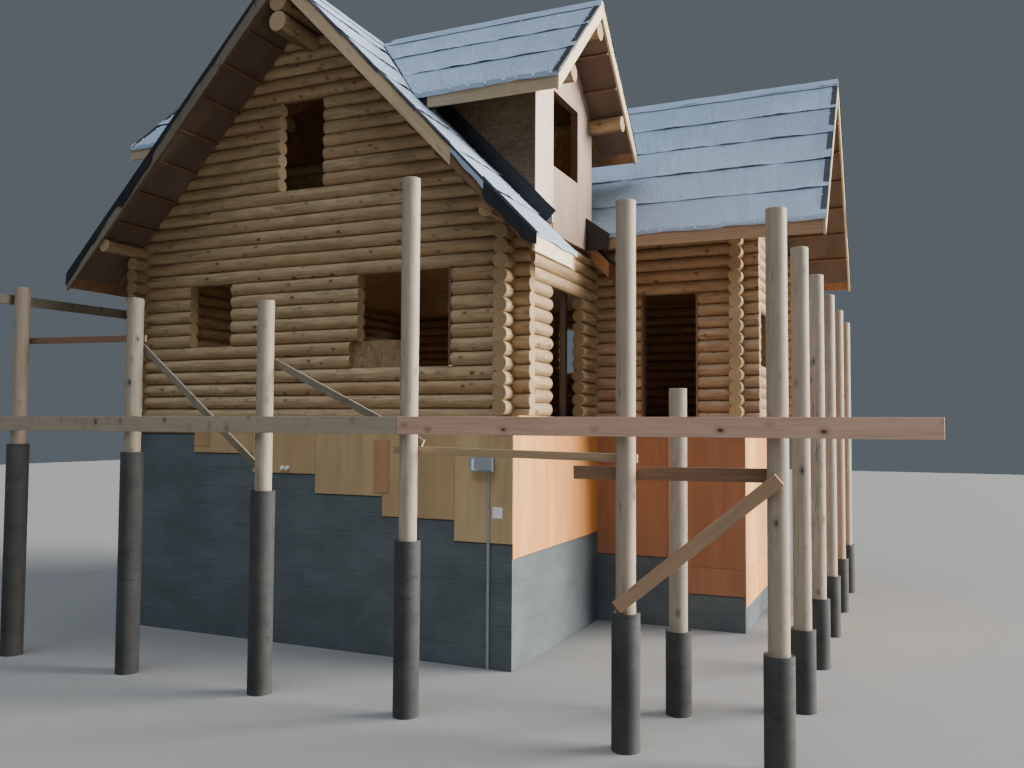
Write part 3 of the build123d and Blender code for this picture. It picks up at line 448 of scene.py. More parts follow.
def wrinkles(rng, s, t, waves=7, long=1.6, short=0.35):
    """Smooth unevenness between -1 and 1: a sum of sine waves in random directions."""
    total = np.zeros(np.broadcast(s, t).shape)
    for _ in range(waves):
        length = rng.uniform(short, long)
        turn = rng.uniform(0, np.pi)
        phase = rng.uniform(0, 2 * np.pi)
        total += np.sin(2 * np.pi * (s * np.cos(turn) + t * np.sin(turn)) / length + phase)
    return total / waves


# Finishes

class Finish:
    """A material with short calls for the nodes that it uses."""

    def __init__(self, name, **sockets):
        self.material = bpy.data.materials.new(name)
        self.material.use_nodes = True
        self.tree = self.material.node_tree
        self.shader = self.tree.nodes["Principled BSDF"]
        for socket, value in sockets.items():
            self.shader.inputs[socket.replace("_", " ")].default_value = value

    def add(self, kind, inputs=None, **settings):
        """Adds a node, sets its settings, and links or sets its inputs."""
        node = self.tree.nodes.new(kind)
        for key, value in settings.items():
            setattr(node, key, value)
        for key, value in (inputs or {}).items():
            if isinstance(value, bpy.types.NodeSocket):
                self.tree.links.new(value, node.inputs[key])
            else:
                node.inputs[key].default_value = value
        return node

    def place(self, source="UV", scale=(1, 1, 1), turn=0.0):
        """Coordinates of the surface, scaled and turned."""
        coordinates = self.add("ShaderNodeTexCoord")
        mapping = {"Vector": coordinates.outputs[source], "Scale": scale, "Rotation": (0, 0, turn)}
        return self.add("ShaderNodeMapping", mapping).outputs["Vector"]

    def noise(self, vector, scale=1.0, detail=4.0, rough=0.5, warp=0.0):
        """Fractal noise."""
        inputs = {"Vector": vector, "Scale": scale, "Detail": detail, "Roughness": rough, "Distortion": warp}
        return self.add("ShaderNodeTexNoise", inputs).outputs["Fac"]

    def cells(self, vector, output="Distance"):
        """Voronoi cells, one to each unit of the vector."""
        inputs = {"Vector": vector, "Scale": 1.0, "Randomness": 1.0}
        return self.add("ShaderNodeTexVoronoi", inputs).outputs[output]

    def fade(self, value, low, high, start=0.0, end=1.0):
        """Maps a value between two limits to another range, held at its ends."""
        inputs = {"Value": value, "From Min": low, "From Max": high, "To Min": start, "To Max": end}
        return self.add("ShaderNodeMapRange", inputs, interpolation_type="SMOOTHSTEP").outputs["Result"]

    def sum(self, kind, first, second):
        """Arithmetic on two values."""
        return self.add("ShaderNodeMath", {0: first, 1: second}, operation=kind).outputs["Value"]

    def mix(self, amount, first, second, kind="MIX"):
        """Mixes two colours."""
        node = self.add("ShaderNodeMix", data_type="RGBA", blend_type=kind, clamp_factor=True)
        for key, value in ((0, amount), (6, first), (7, second)):
            if isinstance(value, bpy.types.NodeSocket):
                self.tree.links.new(value, node.inputs[key])
            elif key == 0:
                node.inputs[key].default_value = value
            else:
                node.inputs[key].default_value = (*value[:3], 1.0)
        return node.outputs[2]

    def tone(self, name="tone"):
        """The random tone of each board or log, or another point weight, such as how near a point is to where
        a log meets the next course, which carries painted shade and grime.
        """
        return self.add("ShaderNodeAttribute", attribute_name=name).outputs["Fac"]

    def split(self, vector):
        """X, Y and Z of a vector."""
        return self.add("ShaderNodeSeparateXYZ", {"Vector": vector}).outputs

    def bump(self, height, distance, strength=1.0, normal=None):
        """Bump from a height between 0 and 1, worth a distance in metres."""
        inputs = {"Height": height, "Distance": distance, "Strength": strength}
        if normal is not None:
            inputs["Normal"] = normal
        return self.add("ShaderNodeBump", inputs).outputs["Normal"]

    def finish(self, color=None, roughness=None, normal=None):
        """Joins the results to the shader."""
        for socket, value in (("Base Color", color), ("Roughness", roughness), ("Normal", normal)):
            if value is not None:
                self.tree.links.new(value, self.shader.inputs[socket])
        return self.material


def scaled(color, factor):
    """A colour made lighter or darker."""
    return tuple(min(1.0, channel * factor) for channel in color)


def knots(f, scale, size, share=0.55, source="UV"):
    """Round knots on a stretched field of cells, of which only a share holds one."""
    field = {"Vector": f.place(source, scale), "Scale": 1.0, "Randomness": 0.9}
    cells = f.add("ShaderNodeTexVoronoi", field)
    chance = f.split(cells.outputs["Color"])
    here = f.fade(chance[0], 1.0 - share, 1.02 - share)
    distance = f.sum("ADD", cells.outputs["Distance"], f.sum("MULTIPLY", chance[1], size * 0.5))
    halo = f.sum("MULTIPLY", f.fade(distance, size, size * 3.2, 1.0, 0.0), here)
    core = f.sum("MULTIPLY", f.fade(distance, size * 0.8, size * 1.35, 1.0, 0.0), here)
    return halo, core


def log_finish(name, light, dark, knot_size=0.11, roughness=0.56, knot_scale=(5.0, 7.5, 1), ruddiness=0.22):
    """Peeled log: streaks along the grain, small knots with a darker halo, drying checks, and painted shade
    with some grime where the logs meet.
    """
    f = Finish(name, Roughness=roughness)
    tone = f.tone()
    streak = f.noise(f.place(scale=(1.3, 30, 1)), 1.0, 7, 0.62, 0.7)
    cloud = f.noise(f.place(scale=(1.3, 4.5, 1)), 1.7, 5, 0.6)
    shaved = f.noise(f.place(scale=(3.2, 11, 1)), 1.0, 2, 0.4, 0.3)
    base = f.mix(f.fade(streak, 0.3, 0.7), dark, light)
    base = f.mix(f.fade(shaved, 0.42, 0.62, 0.0, 0.35), base, scaled(light, 1.16))
    base = f.mix(f.fade(cloud, 0.40, 0.72, 0.0, 0.5), base, scaled(dark, 0.9))
    base = f.mix(f.fade(tone, 0.0, 0.7, 0.0, 0.35), base, scaled(dark, 1.05))
    ruddy = (light[0] * 0.78, light[1] * 0.52, light[2] * 0.45)
    base = f.mix(f.fade(tone, 0.70, 1.0, 0.0, ruddiness), base, ruddy)
    halo, core = knots(f, knot_scale, knot_size, 0.8)
    base = f.mix(f.sum("MULTIPLY", halo, 0.75), base, scaled(dark, 0.5))
    base = f.mix(f.sum("MULTIPLY", core, 0.95), base, (0.03, 0.015, 0.008))
    lines = f.noise(f.place(scale=(0.55, 13, 1)), 1.0, 3, 0.5, 0.3)
    crack = f.sum("ABSOLUTE", f.sum("SUBTRACT", lines, 0.5), 0.0)
    rare = f.fade(f.noise(f.place(scale=(0.9, 2.0, 1)), 1.3, 2), 0.54, 0.62)
    crack = f.sum("MULTIPLY", f.fade(crack, 0.0015, 0.006, 1.0, 0.0), rare)
    base = f.mix(f.sum("MULTIPLY", crack, 0.75), base, (0.06, 0.03, 0.015))
    # Painted shade, partly grime: the wood darkens strongly towards where one log meets the next.
    base = f.mix(f.fade(f.tone("groove"), 0.25, 1.0, 0.0, 0.75), base, scaled(dark, 0.28))
    normal = f.bump(streak, 0.0014)
    normal = f.bump(shaved, 0.0035, 0.8, normal)
    dents = f.sum("SUBTRACT", f.sum("SUBTRACT", 1.0, crack), f.sum("MULTIPLY", core, 0.5))
    normal = f.bump(dents, 0.004, 1.0, normal)
    rough = f.fade(streak, 0.2, 0.8, roughness - 0.08, roughness + 0.12)
    return f.finish(base, rough, normal)


def end_grain_finish(name, light, dark):
    """Sawn log end: rings round the heart and saw marks."""
    f = Finish(name, Roughness=0.75)
    place = f.place()
    radius = f.add("ShaderNodeVectorMath", {0: place}, operation="LENGTH").outputs["Value"]
    wander = f.noise(place, 9, 3)
    inputs = {"W": f.sum("ADD", f.sum("MULTIPLY", radius, 210.0), wander), "Scale": 1.0, "Detail": 2.0}
    rings = f.add("ShaderNodeTexNoise", inputs, noise_dimensions="1D").outputs["Fac"]
    base = f.mix(f.fade(rings, 0.35, 0.65), dark, light)
    base = f.mix(f.fade(f.tone(), 0, 1, 0, 0.4), base, scaled(dark, 0.85))
    base = f.mix(f.fade(radius, 0.0, 0.02, 0.5, 0.0), base, scaled(dark, 0.6))
    saw = f.noise(f.place(scale=(6, 160, 1), turn=0.4), 1.0, 3)
    normal = f.bump(f.sum("ADD", saw, rings), 0.0012)
    return f.finish(base, None, normal)


def board_finish(name, light, dark, source="UV", knot_scale=(2.6, 6.0, 6.0), knot_size=0.10, share=0.6):
    """Sawn board: straight grain, tight knots, a change of tone from board to board."""
    roughness = 0.62
    f = Finish(name, Roughness=roughness)
    warp = f.noise(f.place(source, (0.8, 3, 3)), 1.0, 2)
    grain = f.noise(f.place(source, (1.4, 46, 46)), 1.0, 8, 0.6, 0.8)
    base = f.mix(f.fade(grain, 0.3, 0.7), dark, light)
    base = f.mix(f.fade(warp, 0.4, 0.7, 0, 0.35), base, scaled(light, 1.15))
    base = f.mix(f.fade(f.tone(), 0.0, 1.0, 0.0, 0.55), base, scaled(dark, 0.7))
    halo, core = knots(f, knot_scale, knot_size, share, source)
    base = f.mix(f.sum("MULTIPLY", halo, 0.55), base, scaled(dark, 0.6))
    base = f.mix(f.sum("MULTIPLY", core, 0.9), base, (0.05, 0.022, 0.011))
    normal = f.bump(grain, 0.0009)
    return f.finish(base, f.fade(grain, 0.2, 0.8, roughness - 0.06, roughness + 0.12), normal)


def plywood_finish(name, light, dark, contrast=1.0):
    """Plywood: wide veneer figure along the sheet, soft bands, patches, a tone for each sheet."""
    f = Finish(name, Roughness=0.6)
    figure = f.noise(f.place("UV", (0.35, 2.6, 2.6)), 1.0, 3, 0.5, 1.8)
    fine = f.noise(f.place("UV", (1.2, 60, 60)), 1.0, 6, 0.6, 0.4)
    bands = f.noise(f.place("UV", (0.05, 1.9, 1.9)), 1.0, 2, 0.5)
    cloud = f.noise(f.place("UV", (0.8, 1.4, 1.4)), 1.0, 4, 0.6)
    base = f.mix(f.fade(figure, 0.25, 0.75, 0.15, 0.85), dark, light)
    base = f.mix(f.fade(bands, 0.42, 0.66, 0.0, 0.55 * contrast), base, scaled(light, 1.18))
    base = f.mix(f.fade(bands, 0.44, 0.28, 0.0, 0.45 * contrast), base, scaled(dark, 0.85))
    base = f.mix(f.fade(fine, 0.4, 0.8, 0.0, 0.22), base, scaled(dark, 0.8))
    base = f.mix(f.fade(cloud, 0.45, 0.75, 0.0, 0.3), base, scaled(dark, 0.9))
    ruddy = (dark[0] * 1.05, dark[1] * 0.85, dark[2] * 0.75)
    base = f.mix(f.fade(f.tone(), 0.0, 1.0, 0.0, 0.45 * contrast), base, ruddy)
    patch = f.cells(f.place("UV", (0.9, 2.6, 2.6)))
    base = f.mix(f.fade(patch, 0.028, 0.04, 0.6, 0.0), base, scaled(dark, 0.6))
    normal = f.bump(fine, 0.0006)
    return f.finish(base, f.fade(fine, 0.2, 0.8, 0.52, 0.7), normal)


def slab_finish(name, under, over):
    """Roof slab: dark underlay on its upper side, wood below, told apart by the surface normal."""
    f = Finish(name, Roughness=0.75)
    facing = f.split(f.add("ShaderNodeNewGeometry").outputs["Normal"])[2]
    figure = f.noise(f.place("Object", (3, 3, 3)), 1.0, 5, 0.6, 1.2)
    base = f.mix(f.fade(figure, 0.3, 0.7), scaled(under, 0.7), scaled(under, 1.2))
    base = f.mix(f.fade(facing, 0.05, 0.15), base, over)
    return f.finish(base, None, f.bump(figure, 0.001))


def strand_finish(name, source="Object", shade=1.0):
    """Strand board: flakes laid in two layers of stretched cells, each with its own colour."""
    f = Finish(name, Roughness=0.6)
    layers = []
    for turn, stretch in ((0.5, (26, 8, 8)), (-0.7, (9, 24, 24)), (1.3, (22, 9, 9))):
        place = f.place(source, stretch, turn)
        layers.append(f.add("ShaderNodeSeparateColor", {0: f.cells(place, "Color")}).outputs[0])
    colors = ((0.42, 0.24, 0.10), (0.68, 0.46, 0.22), (0.50, 0.31, 0.14), (0.62, 0.40, 0.18))
    # shade darkens every flake colour; the cheeks' copy at 0.2 is painted shade.
    brown, straw, umber, honey = (scaled(color, shade) for color in colors)
    flakes = f.mix(f.fade(layers[0], 0.2, 0.9), brown, straw)
    second = f.mix(f.fade(layers[1], 0.1, 0.9), umber, honey)
    base = f.mix(f.fade(layers[2], 0.48, 0.52), flakes, second)
    grain = f.noise(f.place(source, (60, 60, 60)), 1.0, 5)
    base = f.mix(f.fade(grain, 0.3, 0.8, 0.0, 0.35), base, scaled((0.30, 0.17, 0.07), shade))
    normal = f.bump(f.sum("ADD", layers[0], layers[1]), 0.0015)
    return f.finish(base, None, normal)


def felt_finish(name, color, roughness=0.8):
    """Roof felt: fine grit, soft creases, dusty patches."""
    f = Finish(name, Roughness=roughness)
    grit = f.noise(f.place(scale=(260, 260, 1)), 1.0, 3, 0.6)
    crease = f.noise(f.place(scale=(2.1, 5.5, 1)), 1.0, 5, 0.5, 1.6)
    dust = f.noise(f.place(scale=(0.7, 1.3, 1)), 1.0, 5, 0.6)
    streaks = f.noise(f.place(scale=(0.25, 9, 1)), 1.0, 3, 0.5)
    base = f.mix(f.fade(grit, 0.3, 0.7), scaled(color, 0.8), scaled(color, 1.2))
    base = f.mix(f.fade(dust, 0.42, 0.72, 0.0, 0.5), base, scaled(color, 1.35))
    base = f.mix(f.fade(streaks, 0.5, 0.75, 0.0, 0.35), base, scaled(color, 0.68))
    base = f.mix(f.fade(f.tone(), 0, 1, 0, 0.4), base, scaled(color, 0.72))
    normal = f.bump(grit, 0.0006)
    normal = f.bump(crease, 0.014, 0.7, normal)
    return f.finish(base, f.fade(dust, 0.3, 0.8, roughness - 0.12, roughness + 0.06), normal)


def concrete_finish(name, color):
    """Cast concrete: board bands, cloudy damp and pinholes."""
    f = Finish(name, Roughness=0.85)
    place = f.place("Object")
    height = f.split(place)[2]
    cloud = f.noise(f.place("Object", (1.2, 1.2, 2.2)), 1.0, 6, 0.6)
    fine = f.noise(f.place("Object", (30, 30, 30)), 1.0, 6, 0.6)
    band = f.sum("FRACT", f.sum("MULTIPLY", height, 1 / 0.29), 0.0)
    seam = f.fade(f.sum("ABSOLUTE", f.sum("SUBTRACT", band, 0.5), 0.0), 0.47, 0.495)
    base = f.mix(f.fade(cloud, 0.3, 0.7), scaled(color, 0.84), scaled(color, 1.2))
    base = f.mix(f.fade(fine, 0.35, 0.75, 0.0, 0.4), base, scaled(color, 0.8))
    base = f.mix(f.sum("MULTIPLY", seam, 0.22), base, scaled(color, 0.6))
    holes = f.fade(f.cells(f.place("Object", (26, 26, 26))), 0.05, 0.12, 1.0, 0.0)
    normal = f.bump(fine, 0.003, 0.7)
    normal = f.bump(f.sum("SUBTRACT", 1.0, f.sum("MAXIMUM", seam, holes)), 0.004, 0.8, normal)
    return f.finish(base, None, normal)


def tube_form_finish(name):
    """Wound form tube: grey paper, a spiral seam, damp stains and dark slanting smudges."""
    f = Finish(name, Roughness=0.8)
    place = f.place()
    u, v = f.split(place)[0], f.split(place)[1]
    fibre = f.noise(f.place(scale=(40, 40, 1)), 1.0, 5)
    cloud = f.noise(f.place(scale=(2.5, 2.5, 1)), 1.0, 5, 0.6)
    spiral = f.sum("FRACT", f.sum("ADD", f.sum("MULTIPLY", u, 5.5), f.sum("MULTIPLY", v, 1.6)), 0.0)
    seam = f.fade(f.sum("ABSOLUTE", f.sum("SUBTRACT", spiral, 0.5), 0.0), 0.47, 0.5)
    base = f.mix(f.fade(cloud, 0.3, 0.7), (0.022, 0.0215, 0.02), (0.044, 0.0435, 0.041))
    base = f.mix(f.fade(fibre, 0.3, 0.8, 0.0, 0.3), base, (0.056, 0.055, 0.052))
    smudge = f.noise(f.place(scale=(16, 4.0, 1), turn=0.22), 1.0, 3, 0.5, 1.2)
    where = f.fade(f.noise(f.place(scale=(1.6, 1.2, 1)), 1.0, 2), 0.42, 0.55)
    smudge = f.sum("MULTIPLY", f.fade(smudge, 0.56, 0.68, 0.0, 0.6), where)
    base = f.mix(smudge, base, (0.014, 0.013, 0.013))
    base = f.mix(f.sum("MULTIPLY", seam, 0.6), base, (0.022, 0.021, 0.02))
    normal = f.bump(f.sum("ADD", fibre, f.sum("MULTIPLY", seam, -1.0)), 0.0015)
    return f.finish(base, None, normal)


def plain_finish(name, color, roughness):
    """Paint or plastic with faint mottling."""
    f = Finish(name, Roughness=roughness)
    cloud = f.noise(f.place("Object", (30, 30, 30)), 1.0, 5, 0.6)
    base = f.mix(f.fade(cloud, 0.3, 0.75), scaled(color, 0.82), scaled(color, 1.12))
    normal = f.bump(cloud, 0.0004)
    return f.finish(base, f.fade(cloud, 0.3, 0.8, roughness - 0.06, roughness + 0.1), normal)


def floor_finish(name, color):
    """Even, pale floor with a faint grain."""
    f = Finish(name, Roughness=0.9)
    grain = f.noise(f.place("Object", (3, 3, 3)), 1.0, 4, 0.5)
    return f.finish(f.mix(f.fade(grain, 0.3, 0.7), scaled(color, 0.985), scaled(color, 1.015)))


MATERIALS = {}


def make_finishes(scene):
    """All finishes, made once and shared by the pieces."""
    logs = scene.cabin_logs
    roof = scene.cabin_roof
    sheets = scene.cabin_sheets
    light, dark, post = tuple(logs.light), tuple(logs.dark), tuple(logs.post)
    wood, ply = tuple(sheets.board), tuple(sheets.plywood)
    knotty = {"knot_scale": (6.5, 4.2, 4.2), "knot_size": 0.15, "share": 0.8}
    sparse = {"knot_scale": (4.0, 6.0, 6.0), "knot_size": 0.12, "share": 0.5}
    MATERIALS.update(
        log=log_finish("log_wood", light, dark),
        log_end=end_grain_finish("log_end_grain", scaled(light, 1.02), scaled(dark, 0.85)),
        # Darker, redder copy of the log wood for the wing front: partly redder wood, partly painted shade and
        # bounce light.
        ruddy_log=log_finish("ruddy_log_wood", (0.48, 0.325, 0.19), (0.28, 0.172, 0.09), ruddiness=0.3),
        post=log_finish("post_wood", post, scaled(post, 0.72), 0.10, 0.6, (3.0, 5.5, 1), 0.15),
        post_end=end_grain_finish("post_end_grain", post, scaled(post, 0.7)),
        board=board_finish("sawn_board", wood, scaled(wood, 0.62)),
        fresh=board_finish("fresh_board", (0.80, 0.66, 0.44), (0.68, 0.52, 0.31)),
        board_end=end_grain_finish("board_end_grain", wood, scaled(wood, 0.6)),
        # Greyer, darker board copy for the left length of the rim beam: partly weathered grey wood, partly
        # painted shade averaged along the beam.
        weathered=board_finish("weathered_board", (0.36, 0.29, 0.21), (0.26, 0.205, 0.142), **knotty),
        # Dark board copy for the left rake and some porch rails: painted shade.
        aged=board_finish("aged_board", (0.225, 0.19, 0.135), (0.16, 0.132, 0.09), **knotty),
        pink=board_finish("pink_board", (0.55, 0.35, 0.25), (0.42, 0.25, 0.17), **sparse),
        ruddy=board_finish("ruddy_board", (0.24, 0.13, 0.072), (0.155, 0.082, 0.044)),
        tan=board_finish("tan_board", (0.38, 0.24, 0.14), (0.27, 0.16, 0.088)),
        orange=board_finish("orange_board", (0.58, 0.29, 0.14), (0.44, 0.20, 0.085)),
        framing=board_finish("framing_board", (0.25, 0.135, 0.072), (0.165, 0.085, 0.044), "Object"),
        plywood=plywood_finish("plywood", ply, scaled(ply, 0.66)),
        side_plywood=plywood_finish("side_plywood", (0.77, 0.365, 0.105), (0.63, 0.26, 0.064), 1.1),
        deep_plywood=plywood_finish("deep_plywood", (0.37, 0.175, 0.085), (0.28, 0.12, 0.054), 0.7),
        patch_plywood=plywood_finish("patch_plywood", (0.47, 0.275, 0.135), (0.355, 0.20, 0.092), 0.7),
        face_plywood=plywood_finish("face_plywood", (0.70, 0.55, 0.45), (0.58, 0.41, 0.31), 0.7),
        face_panel=plywood_finish("face_panel", (0.43, 0.32, 0.255), (0.31, 0.215, 0.155), 1.2),
        soffit=plywood_finish("soffit_plywood", (0.165, 0.115, 0.08), (0.11, 0.073, 0.048)),
        slab=slab_finish("roof_slab", (0.30, 0.15, 0.065), (0.02, 0.022, 0.026)),
        strand=strand_finish("strand_board", shade=0.5),
        # Much darker copy of the strand board for the dormer cheeks: painted shade.
        dark_strand=strand_finish("weathered_strand_board", "UV", 0.2),
        deck=strand_finish("deck_board", shade=0.8),
        # The felt colour holds a painted reflection of the sky.
        felt=felt_finish("roof_felt", tuple(roof.felt)),
        membrane=felt_finish("edge_membrane", tuple(roof.membrane), 0.5),
        concrete=concrete_finish("cast_concrete", tuple(sheets.concrete)),
        form=tube_form_finish("form_tube"),
        cap=plain_finish("white_caps", (0.88, 0.89, 0.90), 0.35),
        nail=plain_finish("nail_heads", (0.045, 0.038, 0.035), 0.6),
        enamel=plain_finish("grey_enamel", (0.30, 0.33, 0.36), 0.4),
        # Near-black sill on the skirt solids: partly dark treated timber, partly painted shadow where it
        # shows in the gaps between the sheets.
        treated=plain_finish("treated_sill", (0.05, 0.04, 0.03), 0.8),
        old_timber=log_finish("old_timber", (0.42, 0.36, 0.29), (0.27, 0.22, 0.17), 0.06, 0.7),
    )


# Logs

def under_main(x, y):
    """Underside of the main roof."""
    return MAIN_UNDERSIDE - SLOPE * np.abs(x - RIDGE_X) - ROOF_GAP


def under_wing(x, y):
    """Underside of the wing roof."""
    return WING_UNDERSIDE - SLOPE * np.abs(y - WING_RIDGE_Y) - ROOF_GAP


def gable_limit(ridge, underside, side, limit):
    """Where a gable log ends: at the wall's end or at the roof's underside, by height."""
    def end(height):
        reach = ridge + side * (underside - ROOF_GAP - height) / SLOPE
        return np.minimum(reach, limit) if side > 0 else np.maximum(reach, limit)
    return end


def main_side(side, limit):
    """The end of a log in a gable of the main roof."""
    return gable_limit(RIDGE_X, MAIN_UNDERSIDE, side, limit)


def wing_side(side, limit):
    """The end of a log in the wing's gable."""
    return gable_limit(WING_RIDGE_Y, WING_UNDERSIDE, side, limit)


def wall(surfaces, axis, line, centres, start, end, openings, rng, ceiling=None, joints=0.0, step=None):
    """A wall of logs: one log a course, left out at the openings (side, side, sill, head in courses)."""
    for course in centres:
        height = FLOOR_TOP + course * COURSE
        gaps = sorted(o[:2] for o in openings if o[2] < course < o[3])
        cuts = [start] + [side for gap in gaps for side in gap] + [end]
        for begin, finish in zip(cuts[::2], cuts[1::2]):
            spans = [(begin, finish)]
            plain = not callable(begin) and not callable(finish)
            if plain and finish - begin > 4.0 and rng.uniform() < joints:
                joint = begin + (finish - begin) * rng.uniform(0.3, 0.7)
                spans = [(begin, joint - 0.001), (joint + 0.001, finish)]
            for low, high in spans:
                floor = FLOOR_TOP if course < 0.6 else None
                log(surfaces, axis, (line, height), low, high, rng, ceiling=ceiling, floor=floor, step=step)


FRONT_OPENINGS = [
    (-5.66, -4.82, 5.5, 10.5),
    (-2.43, -0.87, 5.5, 10.5),
    (-2.57, -0.87, 3.5, 5.5),
    (-3.925, -3.096, 17.5, 24.5),
]
REAR_OPENINGS = [(-5.3, -4.2, 5.5, 10.5), (-2.4, -1.3, 5.5, 10.5)]
LEFT_OPENINGS = [(4.3, 5.5, 5, 10)]
SIDE_OPENINGS = [(1.38, 2.82, -1, 10)]
WING_OPENINGS = [(0.88, 1.85, -1, 10.5)]
WING_END_OPENINGS = [(5.4, 6.6, 5, 10)]


def shifted(openings, offset):
    """Openings moved from the corner of the walls to their place in the frame."""
    return [(a + offset, b + offset, sill, head) for a, b, sill, head in openings]


class CABIN_OT_logs(bpy.types.Operator):
    """Adds the log walls, course by course, in place of the stacked solids"""

    bl_idname = "cabin.logs"
    bl_label = "Log walls"

    def execute(self, context):
        rng = np.random.default_rng(11)
        pair = ("log", "log_end")
        left = LEFT_LINE - LOG_END
        right = RIGHT_LINE + LOG_END
        back = REAR_LINE + LOG_END
        fore = FRONT_LINE - LOG_END
        front = Surfaces()
        openings = shifted(FRONT_OPENINGS, RIGHT_LINE)
        wall(front, "x", FRONT_LINE, range(0, 12), left, right, openings, rng, joints=0.5)
        wall(front, "x", FRONT_LINE, range(12, 31), main_side(-1, left), main_side(1, right), openings, rng)
        front_nodes = ["front_wall_base", "front_wall_sill_band", "front_wall_piers", "front_wall_upper"]
        front_nodes += ["front_gable_sides", "front_gable_peak"]
        front.piece("front_wall_logs", pair, front_nodes, "log_wood")

        side = Surfaces()
        courses = [k + 0.5 for k in range(14)]
        openings = shifted(SIDE_OPENINGS, FRONT_LINE)
        far = WING_FRONT + LOG_END
        wall(side, "y", RIGHT_LINE, courses[:-1], fore, far, openings, rng, under_main)
        wall(side, "y", RIGHT_LINE, courses[-1:], FRONT_LINE - 0.80, far, openings, rng, under_main)
        side.piece("right_wall_logs", pair, ["right_wall_piers", "right_wall_head"], "log_wood")

        left_wall = Surfaces()
        openings = shifted(LEFT_OPENINGS, FRONT_LINE)
        plate = (RAKE_EDGE + FASCIA, REAR_EDGE - FASCIA)
        wall(left_wall, "y", LEFT_LINE, courses[:-1], fore, back, openings, rng, under_main, step=0.3)
        wall(left_wall, "y", LEFT_LINE, courses[-1:], *plate, [], rng, under_main, step=0.3)
        left_wall.piece(
            "left_wall_logs", pair, ["left_wall_base", "left_wall_piers", "left_wall_head"], "log_wood"
        )

        wing = Surfaces()
        openings = shifted(WING_OPENINGS, RIGHT_LINE)
        far = WING_LINE + LOG_END
        wall(wing, "x", WING_FRONT, range(0, 14), RIGHT_LINE - LOG_END, far, openings, rng, under_wing)
        wall(wing, "x", WING_FRONT, range(14, 18), RIGHT_LINE - 0.05, far, [], rng, under_wing)
        # The wing front takes the darker, redder log copy, which holds painted shade and bounce light.
        wing.piece(
            "wing_front_logs", ("ruddy_log", "log_end"), ["wing_front_piers", "wing_front_head"], "log_wood"
        )

        end = Surfaces()
        openings = shifted(WING_END_OPENINGS, FRONT_LINE)
        near = WING_FRONT - LOG_END
        wall(end, "y", WING_LINE, [k + 0.5 for k in range(10)], near, back, openings, rng, step=0.25)
        wall(
            end, "y", WING_LINE, [k + 0.5 for k in range(10, 29)],
            wing_side(-1, near), wing_side(1, back), [], rng, step=0.25,
        )
        end.piece(
            "wing_end_logs", pair, ["wing_end_base", "wing_end_piers", "wing_end_gable"], "log_wood"
        )

        rear = Surfaces()
        openings = shifted(REAR_OPENINGS, RIGHT_LINE)
        wall(rear, "x", REAR_LINE, range(0, 12), left, far, openings, rng, step=0.3)
        wall(rear, "x", REAR_LINE, range(12, 18), main_side(-1, left), far, [], rng, under_wing, step=0.3)
        wall(
            rear, "x", REAR_LINE, range(18, 31), main_side(-1, left), main_side(1, right), [], rng, step=0.3
        )
        rear.piece(
            "rear_wall_logs", pair, ["rear_wall_base", "rear_wall_piers", "rear_wall_upper"], "log_wood"
        )
        return {"FINISHED"}


class CABIN_OT_ridge_logs(bpy.types.Operator):
    """Adds the ridge logs and the dormer purlins"""

    bl_idname = "cabin.ridge_logs"
    bl_label = "Ridge logs"

    def execute(self, context):
        rng = np.random.default_rng(21)
        pair = ("log", "log_end")
        ridge = Surfaces()
        span = (RAKE_EDGE + FASCIA, REAR_EDGE - FASCIA)
        top = MAIN_UNDERSIDE - RIDGE_RADIUS / math.cos(ROOF_PITCH)
        for height in (top, top - 2 * RIDGE_RADIUS):
            log(ridge, "y", (RIDGE_X, height), *span, rng, RIDGE_RADIUS, ceiling=under_main, step=0.3)
        ridge.piece("main_ridge_logs", pair, ["ridge_logs"], "log_wood")

        wing = Surfaces()
        low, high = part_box("wing_ridge_log")
        place = (WING_RIDGE_Y, WING_UNDERSIDE - PURLIN_RADIUS / math.cos(ROOF_PITCH))
        log(wing, "x", place, low.x + 0.01, high.x, rng, PURLIN_RADIUS, ceiling=under_wing, step=0.3)
        wing.piece("wing_ridge_beam", pair, ["wing_ridge_log"], "log_wood")

        purlins = Surfaces()
        offset = (DORMER_WIDTH - 0.11) / 2
        for side, centre in DORMERS:
            def ceiling(x, y, centre=centre):
                return DORMER_UNDERSIDE - DORMER_SLOPE * np.abs(y - centre) - ROOF_GAP
            for shift, radius in ((0.0, RIDGE_RADIUS), (-offset, PURLIN_RADIUS), (offset, PURLIN_RADIUS)):
                height = DORMER_UNDERSIDE - DORMER_SLOPE * abs(shift) - radius / math.cos(DORMER_PITCH)
                inner = RIDGE_X + side * max(RIDGE_RADIUS, (MAIN_UNDERSIDE - height) / SLOPE - 0.1)
                outer = mirrored(DORMER_EDGE - FASCIA, side)
                ends = sorted((inner, outer))
                log(purlins, "x", (centre + shift, height), *ends, rng, radius, ceiling=ceiling)
        purlins.piece("dormer_purlin_logs", pair, ["dormer_purlins"], "log_wood")
        return {"FINISHED"}


# Roofs

class Slope:
    """One roof slope: ridge point, direction along the ridge, down the slope, and outwards."""

    def __init__(self, ridge, along, level, pitch, length):
        self.ridge = np.array(ridge, float)
        self.along = np.array(along, float)
        self.down = np.array(level, float) * math.cos(pitch) + np.array([0, 0, -math.sin(pitch)])
        self.out = np.array(level, float) * math.sin(pitch) + np.array([0, 0, math.cos(pitch)])
        self.pitch = pitch
        self.length = length

    def at(self, s, t, lift):
        """Points at s along the ridge, t down the slope and a height off it."""
        s, t, lift = np.broadcast_arrays(s, t, lift)
        return self.ridge + s[..., None] * self.along + t[..., None] * self.down + lift[..., None] * self.out


